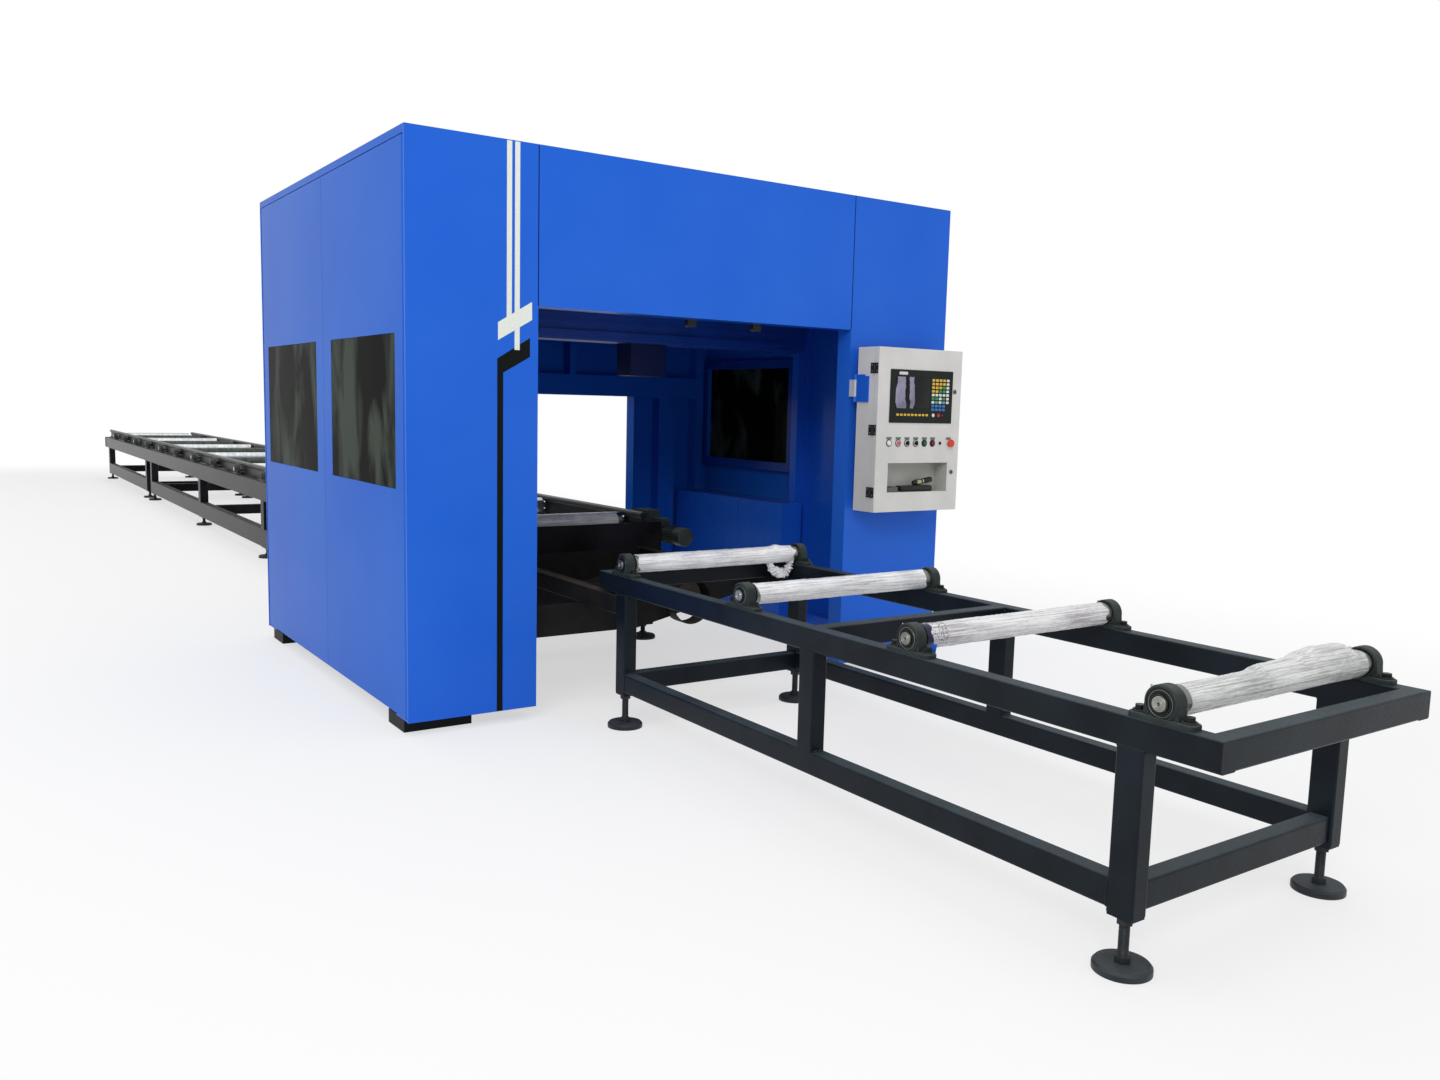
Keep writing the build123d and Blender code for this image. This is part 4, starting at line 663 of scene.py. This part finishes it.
# Bearing inserts: seal and outer race in each housing face, and the inner ring that turns with the shaft.
seal_ring = [(0.0397, -0.0024), (0.0397, -0.0012), (0.0385, -0.0008), (0.0366, -0.0008), (0.0360, -0.0014),
             (0.0310, -0.0014), (0.0298, 0.0006), (0.0262, 0.0012), (0.0250, 0.0008), (0.0250, 0.0000),
             (0.0290, 0.0000), (0.0290, -0.0024)]
race_ring = [(0.0345, -0.0020), (0.0345, -0.0009), (0.0341, -0.0005), (0.0328, -0.0005), (0.0324, -0.0009),
             (0.0324, -0.0020)]
inner_ring = [(0.0246, -0.0004), (0.0246, 0.0040), (0.0238, 0.0050), (0.0214, 0.0050), (0.0205, 0.0040),
              (0.0205, -0.0004)]
infeed_boxes = [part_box(name) for name in infeed_rollers]
outfeed_boxes = [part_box(name) for name in outfeed_rollers]
tables = ((infeed_rollers, infeed_boxes, infeed_rows), (outfeed_rollers, outfeed_boxes, outfeed_rows))
housings = np.array([(x, y, z) for _, boxes, rows in tables for x, z in map(axis_of, boxes) for y in rows])
seal_rubber = moulded("nitrile_seal", "#101311", "#181B19", 0.45)
race_steel = turned("bearing_outer_race", "#7E847E", "#656B66", 0.40, 0.003)
inner_steel = turned("bearing_inner_ring", "#343934", "#262B27", 0.40, 0.003)
shaft_end_steel = turned("faced_shaft_end", "#A3A49C", "#7F8179", 0.34, 0.003)
for sign, word in ((-1, "left"), (1, "right")):
    faces = housings + (0, sign * housing_half_width, 0)
    for name, profile, finish in (("bearing_seals_", seal_ring, seal_rubber),
                                  ("bearing_races_", race_ring, race_steel)):
        lathe(name + word, mirrored(profile, sign), faces, "machine", finish, crease=30)
for names, boxes, rows in tables:
    for name, corners in zip(names, boxes):
        x, z = axis_of(corners)
        rings = [revolved(mirrored(inner_ring, sign), [(x, y + sign * housing_half_width, z) for y in rows])
                 for sign in (-1, 1)]
        piece("inner_rings_" + name, np.concatenate(rings), name, inner_steel, closed=(True, True),
              crease=30)

# Faced ends of the infeed shafts: two turned grooves about the centre hole.
shaft_face = [(0.0194, -0.0004), (0.0194, 0.0006), (0.0187, 0.0011), (0.0163, 0.0011), (0.0157, 0.0003),
              (0.0141, 0.0003), (0.0135, 0.0011), (0.0104, 0.0011), (0.0098, 0.0004), (0.0084, 0.0004),
              (0.0078, 0.0011), (0.0045, 0.0011), (0.0036, -0.0004)]
for name, (low, high) in zip(infeed_rollers, infeed_boxes):
    x, z = axis_of((low, high))
    ends = [revolved(mirrored(shaft_face, sign), [(x, end, z)]) for sign, end in ((-1, low.y), (1, high.y))]
    piece("shaft_ends_" + name, np.concatenate(ends), name, shaft_end_steel, closed=(True, True), crease=30)

# Dark tape wound once round the third roller's left end; its offsets are places along Y.
tape_ring = [(0.0380, -0.5975), (0.0387, -0.5972), (0.0387, -0.5740), (0.0380, -0.5736)]
tape_violet = moulded("violet_tape", "#1E1B3E", "#171433", 0.35)
x, z = axis_of(infeed_boxes[2])
lathe("tape_band", tape_ring, [(x, 0.0, z)], "infeed_roller_3", tape_violet, steps=60,
      crease=30)

# Grease nipple on the upper shoulder of each housing, on the side that looks down the line.
nipple = [(0.0, -0.0010), (0.0050, -0.0010), (0.0050, 0.0040), (0.0032, 0.0045), (0.0032, 0.0080),
          (0.0024, 0.0100), (0.0, 0.0104)]
nipple_lean = math.radians(50)
nipple_way = np.array((-math.sin(nipple_lean), 0.0, math.cos(nipple_lean)))
zinc_plate = painted("zinc_plated_steel", "#A9ADB0", "#8C9194", patch=0.04, grain=0.005, depth=0.0002,
                     roughness=0.36, metallic=1.0)
lathe("grease_nipples", nipple, housings + housing_radius * nipple_way, "machine", zinc_plate,
      nipple_way, steps=10, closed=False)

# Threads on the levelling stems, drawn at a pitch of 4 mm: a zigzag between root and crest radius.
thread_pitch = 0.004
thread_root = 0.0129
thread_crest = 0.0142
thread_core = thread_root - 0.001
thread_low = 0.040
infeed_legs = (7.066, 9.625)
outfeed_legs = (5.449, 3.829, 0.989, -1.851, -5.131, -5.561, -9.391)
for name, legs, rows, thread_high in (("infeed_threads", infeed_legs, infeed_rows, 0.124),
                                      ("outfeed_threads", outfeed_legs, outfeed_rows, 0.072)):
    turns = round((thread_high - thread_low) / thread_pitch)
    zigzag = [(thread_crest if k % 2 else thread_root, thread_low + k * thread_pitch / 2)
              for k in range(2 * turns + 1)]
    stem = [(thread_core, thread_low)] + zigzag + [(thread_core, thread_high)]
    stem_places = [(x, y, 0.0) for x in legs for y in rows]
    lathe(name, stem, stem_places, "machine", foot_steel, (0, 0, 1), steps=24, crease=20)

# Welds of the infeed table: leg tops, low rails and cross tubes.
rail_bottom = 0.585
rail_top = 0.665
rail_half = 0.030
rail_sides = [(y - rail_half, y + rail_half) for y in infeed_rows]
low_rail = (0.160, 0.240)
leg_half = 0.040
middle_leg = 8.3455
leg_places = (infeed_legs[0], middle_leg, infeed_legs[1])
end_leg_faces = (infeed_legs[0] + leg_half, infeed_legs[1] - leg_half)
middle_leg_faces = (middle_leg - leg_half, middle_leg + leg_half)
cross_tube_faces = (6.931, 8.3155, 8.3755, 9.811)
corner_inset = 0.007
flush_inset = 0.003
cross_tube_weld = (rail_bottom + corner_inset, rail_top - corner_inset)
weld_runs = []
for y0, y1 in rail_sides:
    outside = y0 + flush_inset if y0 < 0 else y1 - flush_inset
    weld_y = (y0 + corner_inset, y1 - corner_inset)
    for x in leg_places:
        weld_runs += [[(face, y, rail_bottom) for y in weld_y] for face in (x - leg_half, x + leg_half)]
        weld_runs.append([(face, outside, rail_bottom) for face in (x - leg_half, x + leg_half)])
    weld_runs += [[(face, y, low_rail[1]) for y in weld_y] for face in end_leg_faces + middle_leg_faces]
    weld_runs += [[(face, outside, z) for z in low_rail] for face in end_leg_faces]
for y in (rail_sides[0][1], rail_sides[1][0]):
    weld_runs += [[(x, y, z) for z in cross_tube_weld] for x in cross_tube_faces]
weld_beads("infeed_welds", weld_runs, frame_enamel)

# Blue tape tag beside the third roller's left bearing: a curled strip.
tag_left = 8.868
tag_wide = 0.026
tag_lean = 0.003
tag_face = -0.6078
tag_curl = 0.009
tag_thick = 0.0008
tag_top = 0.703
tag_drop = 0.032
down_tag = np.linspace(0, 1, 14)[:, None]
across_tag = np.linspace(0, tag_wide, 6)[None]
tag_skins = [np.stack(np.broadcast_arrays(tag_left + across_tag + tag_lean * down_tag,
                                          tag_face + tag_curl * (1 - down_tag) ** 2 + lift,
                                          tag_top - tag_drop * down_tag), -1) for lift in (0.0, tag_thick)]
tape_blue = moulded("blue_tape", "#2B62C8", "#2456B6", 0.35)
piece("tape_tag", np.concatenate([tag_skins[0], tag_skins[1][:, ::-1]], 1), "machine", tape_blue, caps=True)

# Trim of the right window on the inside, in the cabin blue darkened as painted shade, and two cable clips on
# the back of the header.
trim_outer = (4.487, 5.530, 0.985, 1.711)
trim_inner = (4.523, 5.4675, 1.043, 1.653)
trim_level = 1.4602
trim_height = 0.013
# The trim's darker blue is painted shade on the cabin's blue coat.
trim_coat_painted_shade = powder_blue("blue_powder_coat_trim_painted_shade", "#123E98", "#1644A2", 0.4, 0.24, specular=0.1)
trim_rings = border(trim_outer, trim_inner, trim_level, trim_height)
piece("right_window_trim", trim_rings, "right_back_door", trim_coat_painted_shade, closed=(True, True), crease=20)
clip_levels = [(-0.0005, 0.0), (0.024, 0.0), (0.030, 0.004), (0.032, 0.010)]
header_back = 6.679
clip_height = 1.800
clip_places = [(header_back, y, clip_height) for y in (-0.075, 0.307)]
plate("header_clips", rounded(0.050, 0.060, 0.012), clip_places, clip_levels, black_plastic, "-x", "machine")

# Dark bars, in the seals' black finish, that fill the slit under the outfeed guides' ribs, between the tabs:
# painted shadow in the gap.
slit_low = 0.6523
slit_high = 0.6577
slit_width = 0.0094
slit_gap = 0.0003
tab_half = 0.041
tab_offset = 0.545
strip_end = 0.001


def slit_shadow_strips(node, sign):
    """Dark square bars along X on the guide's rail side, one between each two tabs and one at each end:
    painted shadow in the slit.
    """
    low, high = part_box(node)
    tabs = [axis_of(corners)[0] - tab_offset for corners in outfeed_boxes]
    tabs = [x for x in tabs if x > low.x + tab_half]
    starts = [high.x - strip_end] + [x - tab_half for x in tabs]
    stops = [x + tab_half for x in tabs] + [low.x + strip_end]
    outer = (low.y if sign < 0 else high.y) - sign * slit_gap
    inner = outer - sign * slit_width
    corners = [(outer, slit_low), (inner, slit_low), (inner, slit_high), (outer, slit_high)]
    return np.asarray([[[(x, y, z) for y, z in corners] for x in span] for span in zip(starts, stops)])


# The strips are painted shadow: dark bars where the slit is only in shade.
for sign, node in ((-1, "guide_left"), (1, "guide_right")):
    piece(node + "_shadow_strips", slit_shadow_strips(node, sign), "machine", seal_rubber, caps=True, crease=20)

# Stripes on the front wall's left column, laid off the sheet; the white ones cross over the black head.
_, front_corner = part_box("cabin_front")
front_x = front_corner.x
wall_top = front_corner.z


def stripe(name, corners, lift, finish):
    """A thin film: its outline in (y, z) near the front plane, and the same outline lift off it."""
    outline = np.asarray(corners, float)
    rings = [np.concatenate([np.full((len(outline), 1), front_x + step), outline], 1)
             for step in (stripe_back, lift)]
    piece(name, np.stack(rings), "machine", finish, caps=True)


stripe_white = moulded("white_vinyl_film", "#E8EDE4", "#DFE5DC", 0.35)
stripe_black = moulded("black_vinyl_film", "#0E1411", "#0A0F0C", 0.35, 0.08)
stripe("stripe_black", [(-1.107, 0.062), (-1.080, 0.062), (-1.080, 1.520), (-0.958, 1.590), (-0.958, 1.670),
                        (-1.107, 1.578)], black_stripe_lift, stripe_black)
stripe("stripe_white_left", [(-1.065, 1.7516), (-1.042, 1.7652), (-1.042, wall_top), (-1.065, wall_top)],
       white_stripe_lift, stripe_white)
stripe("stripe_white_right", [(-1.029, 1.617), (-1.006, 1.617), (-1.006, wall_top), (-1.029, wall_top)],
       white_stripe_lift, stripe_white)
stripe("stripe_white_bar", [(-1.104, 1.654), (-0.949, 1.746), (-0.950, 1.821), (-1.104, 1.728)],
       white_bar_lift, stripe_white)

# Control unit: screen with lilac bands of painted reflection, bare label, keys by colour.
face_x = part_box("cnc_unit")[1].x
# The lilac bands on the display are painted reflection.
display = screen_glass("display_glass", "#0D1512", "#A39DB8", bands=((1.012, 0.030), (1.086, 0.015)))
white_label = painted("bare_white_label", "#D6D8D8", "#C9CCCC", patch=0.05, grain=0.003, depth=0.0001,
                      roughness=0.40)
screen_levels = [(0.0, 0.0), (0.0012, 0.0), (0.0016, 0.0006)]
plate_levels = [(-0.0002, 0.0), (0.0005, 0.0), (0.0008, 0.0004)]
key_levels = [(-0.0002, 0.0), (0.0008, 0.0), (0.0014, 0.0007)]
round_levels = [(-0.0002, 0.0), (0.0012, 0.0), (0.002, 0.001)]
screen_depth = 0.002
screen_middle = (1.0705, 1.4925)
label_middle = (0.999, 1.5895)
plate("screen", rounded(0.239, 0.159, 0.003), [(face_x - screen_depth, *screen_middle)], screen_levels,
      display)
plate("unit_label", rounded(0.058, 0.015, 0.002), [(face_x, *label_middle)], plate_levels, white_label)
key_columns = np.linspace(1.212, 1.316, 5)
key_rows = np.linspace(1.560, 1.409, 9)
bottom_row = 1.380
function_keys = [(face_x, y, bottom_row) for y in np.linspace(0.968, 1.172, 9)]
key_colours = {"yellow": ("#E6BE4C", "#D9AE3A"), "white": ("#E4E6E2", "#D8DAD6"),
               "green": ("#3E9A5E", "#358A53"), "teal": ("#5FB0B4", "#4FA0A4"),
               "blue": ("#3E7CC4", "#356DB2"), "red": ("#C8343A", "#B82D33")}
key_plan = ("yyyyw", "yyyyw", "yyygw", "yyggw", "wwwww", "ggwgw", "wtwtw", "bbbb", "bbbb")
key_finish = {colour: moulded("membrane_" + colour, *tones, 0.40) for colour, tones in key_colours.items()}
for colour in ("yellow", "white", "green", "teal", "blue"):
    places = [(face_x, y, z) for letters, z in zip(key_plan, key_rows)
              for letter, y in zip(letters, key_columns) if letter == colour[0]]
    plate("keys_" + colour, rounded(0.019, 0.0125, 0.002, 3), places, key_levels, key_finish[colour])
plate("keys_function", rounded(0.017, 0.011, 0.002, 3), function_keys, key_levels, key_finish["yellow"])
round_key = rounded(0.019, 0.019, 0.0094, 5)
round_lamp = rounded(0.007, 0.007, 0.0034, 4)
round_keys = (("key_start", round_key, 1.218, "white"), ("key_stop", round_key, 1.256, "red"),
              ("key_lamp", round_lamp, 1.284, "red"))
for name, outline, y, colour in round_keys:
    plate(name, outline, [(face_x, y, bottom_row)], round_levels, key_finish[colour])

# Control door: bare legend plates over the buttons, black gaskets under them that are partly painted shade
# at the bezels' edges, and the screws of its hinges.
door_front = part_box("box_door")[1].x
legend_places = [(door_front, y, legend_row) for y in (*button_places, stop_place)]
legend_finish = moulded("bare_legend_plate", "#6C706F", "#767A79", 0.45)
plate("legend_plates", rounded(0.036, 0.0125, 0.001, 3), legend_places, plate_levels, legend_finish)
# The black rings are gaskets and also painted shade: they give the buttons their dark outlines.
gasket_and_shade_ring = [(0.0140, -0.0002), (0.0192, -0.0002), (0.0192, 0.0012), (0.0184, 0.0018), (0.0140, 0.0018)]
gasket_and_shade_places = [(door_front, y, button_row) for y in button_places]
lathe("button_gaskets_and_shade", gasket_and_shade_ring, gasket_and_shade_places, "control_door", black_plastic, (1, 0, 0),
      steps=32)
screw_dome = [(0.0034, -0.0004), (0.0034, 0.0008), (0.0024, 0.0018), (0.0, 0.0022)]
screw_face = 0.831
screw_heights = [z + step for z in (1.610, 1.300, 0.985) for step in (-0.015, 0.015)]
hinge_leaves = (("hinge_screws_box", "control_box", 6.949), ("hinge_screws_door", "control_door", 6.983))
for name, body, x in hinge_leaves:
    lathe(name, screw_dome, [(x, screw_face, z) for z in screw_heights], body, zinc_plate,
          (0, -1, 0), steps=12, closed=False)

# Things in the door pocket: a pendant handset with its plug lying on it, and a ribbed tub.
pocket_floor = 0.9845
pocket_middle = 6.950
handset_y = 1.152
plug_y = 1.136
plug_aside = 0.006
plug_lift = 0.042
tub_y = 0.968
handset_levels = [(0.0, 0.004), (0.003, 0.001), (0.006, 0.0), (0.022, 0.0), (0.027, 0.002), (0.029, 0.006)]
plate("pendant_handset", rounded(0.060, 0.222, 0.014, 5), [(pocket_middle, handset_y, pocket_floor)],
      handset_levels, black_plastic, "+z")
plug_way = (0.0, 1.0, 0.14)
plug_place = [(pocket_middle + plug_aside, plug_y, pocket_floor + plug_lift)]
plug_shell = [(0.0, 0.0), (0.008, 0.0), (0.0125, 0.004), (0.0125, 0.076), (0.0145, 0.080), (0.0145, 0.126),
              (0.0125, 0.131), (0.0, 0.131)]
plug_sleeve = [(0.0120, 0.022), (0.0150, 0.022), (0.0155, 0.024), (0.0155, 0.050), (0.0150, 0.052),
               (0.0120, 0.052)]
plug_rings = [(0.0120, 0.064), (0.0136, 0.064), (0.0136, 0.070), (0.0120, 0.070)]
plug_chrome = plated("chromed_lock", "#C6C8CA", "#AEB0B3", 0.18)
pale_brass = plated("nickel_washed_brass", "#B9B489", "#96916A", 0.30, depth=0.0002)
for name, profile, finish, slot, closed in (("plug_sleeve", plug_sleeve, pale_brass, "torch_brass", True),
                                            ("plug_shell", plug_shell, black_plastic, "panel_black", False),
                                            ("plug_rings", plug_rings, plug_chrome, "zinc_steel", True)):
    lathe(name, profile, plug_place, "control_door", finish, plug_way, steps=28, closed=closed)
tub_levels = [(0.0, 0.0), (0.024, 0.0), (0.025, 0.001), (0.024, 0.003), (0.002, 0.004)]
tub_finish = moulded("grey_tub", "#5F625D", "#555853")
tub_rib = 0.02
tub_outline = rounded(0.070, 0.084, 0.010, 12)
tub_outline = tub_outline * (1 + tub_rib * (np.arange(len(tub_outline)) % 2))[:, None]
plate("pocket_tub", tub_outline, [(pocket_middle, tub_y, pocket_floor)], tub_levels, tub_finish, "+z")


def seen_rays(tree):
    """1 for rays from the camera, from reflections and through clear pieces, else 0."""
    rays = add(tree, "LightPath").outputs
    seen = maths(tree, "MAXIMUM", rays["Is Camera Ray"], rays["Is Glossy Ray"])
    return maths(tree, "MAXIMUM", seen, rays["Is Transmission Ray"])


# World: plain white to the camera and in reflections, softer light on the object.
world = bpy.data.worlds.new("studio")
bpy.context.scene.world = world
world.use_nodes = True
sky = world.node_tree
sky.nodes.clear()
soft, white = (add(sky, "Background", {"Color": (1, 1, 1, 1), "Strength": strength}).outputs[0]
               for strength in (sky_strength, 1.0))
backdrop = add(sky, "MixShader", {0: seen_rays(sky), 1: soft, 2: white})
add(sky, "OutputWorld", {"Surface": backdrop.outputs[0]})


def softbox(name, place, aim, width, height, energy):
    """A rectangular area lamp at a place, turned to look at a point."""
    lamp = bpy.data.lights.new(name, "AREA")
    lamp.shape = "RECTANGLE"
    lamp.size = width
    lamp.size_y = height
    lamp.energy = energy
    made = linked(name, lamp)
    made.location = place
    made.rotation_euler = (Vector(aim) - Vector(place)).to_track_quat("-Z", "Y").to_euler()


softbox("overhead_softbox", place=(2.0, -0.5, 8.0), aim=(2.0, -0.4, 0.0), width=22.0, height=6.0,
        energy=330.0)
softbox("front_softbox", place=(14.5, -7.0, 6.5), aim=(7.0, -0.4, 0.8), width=6.0, height=4.0, energy=420.0)


def pale_floor(name, colour, shade):
    """Matt pale floor: its colour drifts in patches 3 m wide, and it turns to the backdrop's white with
    the distance from the line's rectangle, for rays of the camera and of reflections."""
    material, tree, skin, where = start_finish(name, specular=0.1)
    split = add(tree, "SeparateXYZ", {"Vector": where})
    square = 0.0
    for axis, half in (("X", line_half_length), ("Y", line_half_width)):
        past = maths(tree, "SUBTRACT", maths(tree, "ABSOLUTE", split.outputs[axis]), half)
        past = maths(tree, "MAXIMUM", past, 0.0)
        square = maths(tree, "MULTIPLY_ADD", past, past, square)
    fade = spread(tree, maths(tree, "SQRT", square), floor_fade_start, floor_fade_end, floor_white,
                  interpolation_type="SMOOTHSTEP")
    tone = tint(tree, noise(tree, where, floor_patch, 3.0), colour, shade)
    tree.links.new(tone, skin.inputs["Base Color"])
    skin.inputs["Roughness"].default_value = floor_roughness
    share = maths(tree, "MULTIPLY", seen_rays(tree), fade)
    glow = add(tree, "Emission", {"Color": (1, 1, 1, 1), "Strength": 1.0})
    mixed = add(tree, "MixShader", {0: share, 1: skin.outputs[0], 2: glow.outputs[0]})
    tree.links.new(mixed.outputs[0], tree.nodes["Material Output"].inputs["Surface"])
    return material


floor_mesh = bpy.data.meshes.new("floor")
floor_line = np.linspace(-floor_half, floor_half, 3)
floor_points = np.stack(np.meshgrid(floor_line, floor_line, [-floor_drop]), -1).reshape(-1, 3)
floor_mesh.from_pydata(floor_points.tolist(), [], [(k, k + 1, k + 4, k + 3) for k in (0, 1, 3, 4)])
floor_mesh.materials.append(pale_floor("pale_floor", "#F6F6F6", "#F2F2F2"))
floor = linked("floor", floor_mesh)

# Camera: forward, right and down from turn and pitch, then rolled about the view line.
forward = Vector((-math.sin(camera_turn) * math.cos(camera_pitch),
                  math.cos(camera_turn) * math.cos(camera_pitch), -math.sin(camera_pitch)))
level_right = Vector((math.cos(camera_turn), math.sin(camera_turn), 0.0))
level_down = forward.cross(level_right)
right = math.cos(camera_roll) * level_right - math.sin(camera_roll) * level_down
down = math.sin(camera_roll) * level_right + math.cos(camera_roll) * level_down
camera_data = bpy.data.cameras.new("camera")
camera_data.sensor_width = sensor_width
camera_data.lens = focal_pixels * sensor_width / image_width
camera_data.clip_end = camera_reach
camera = linked("camera", camera_data)
camera_axes = Matrix((right, -down, -forward)).transposed().to_4x4()
camera.matrix_world = Matrix.Translation(camera_place) @ camera_axes
bpy.context.scene.camera = camera
bpy.context.scene.view_settings.view_transform = "Standard"
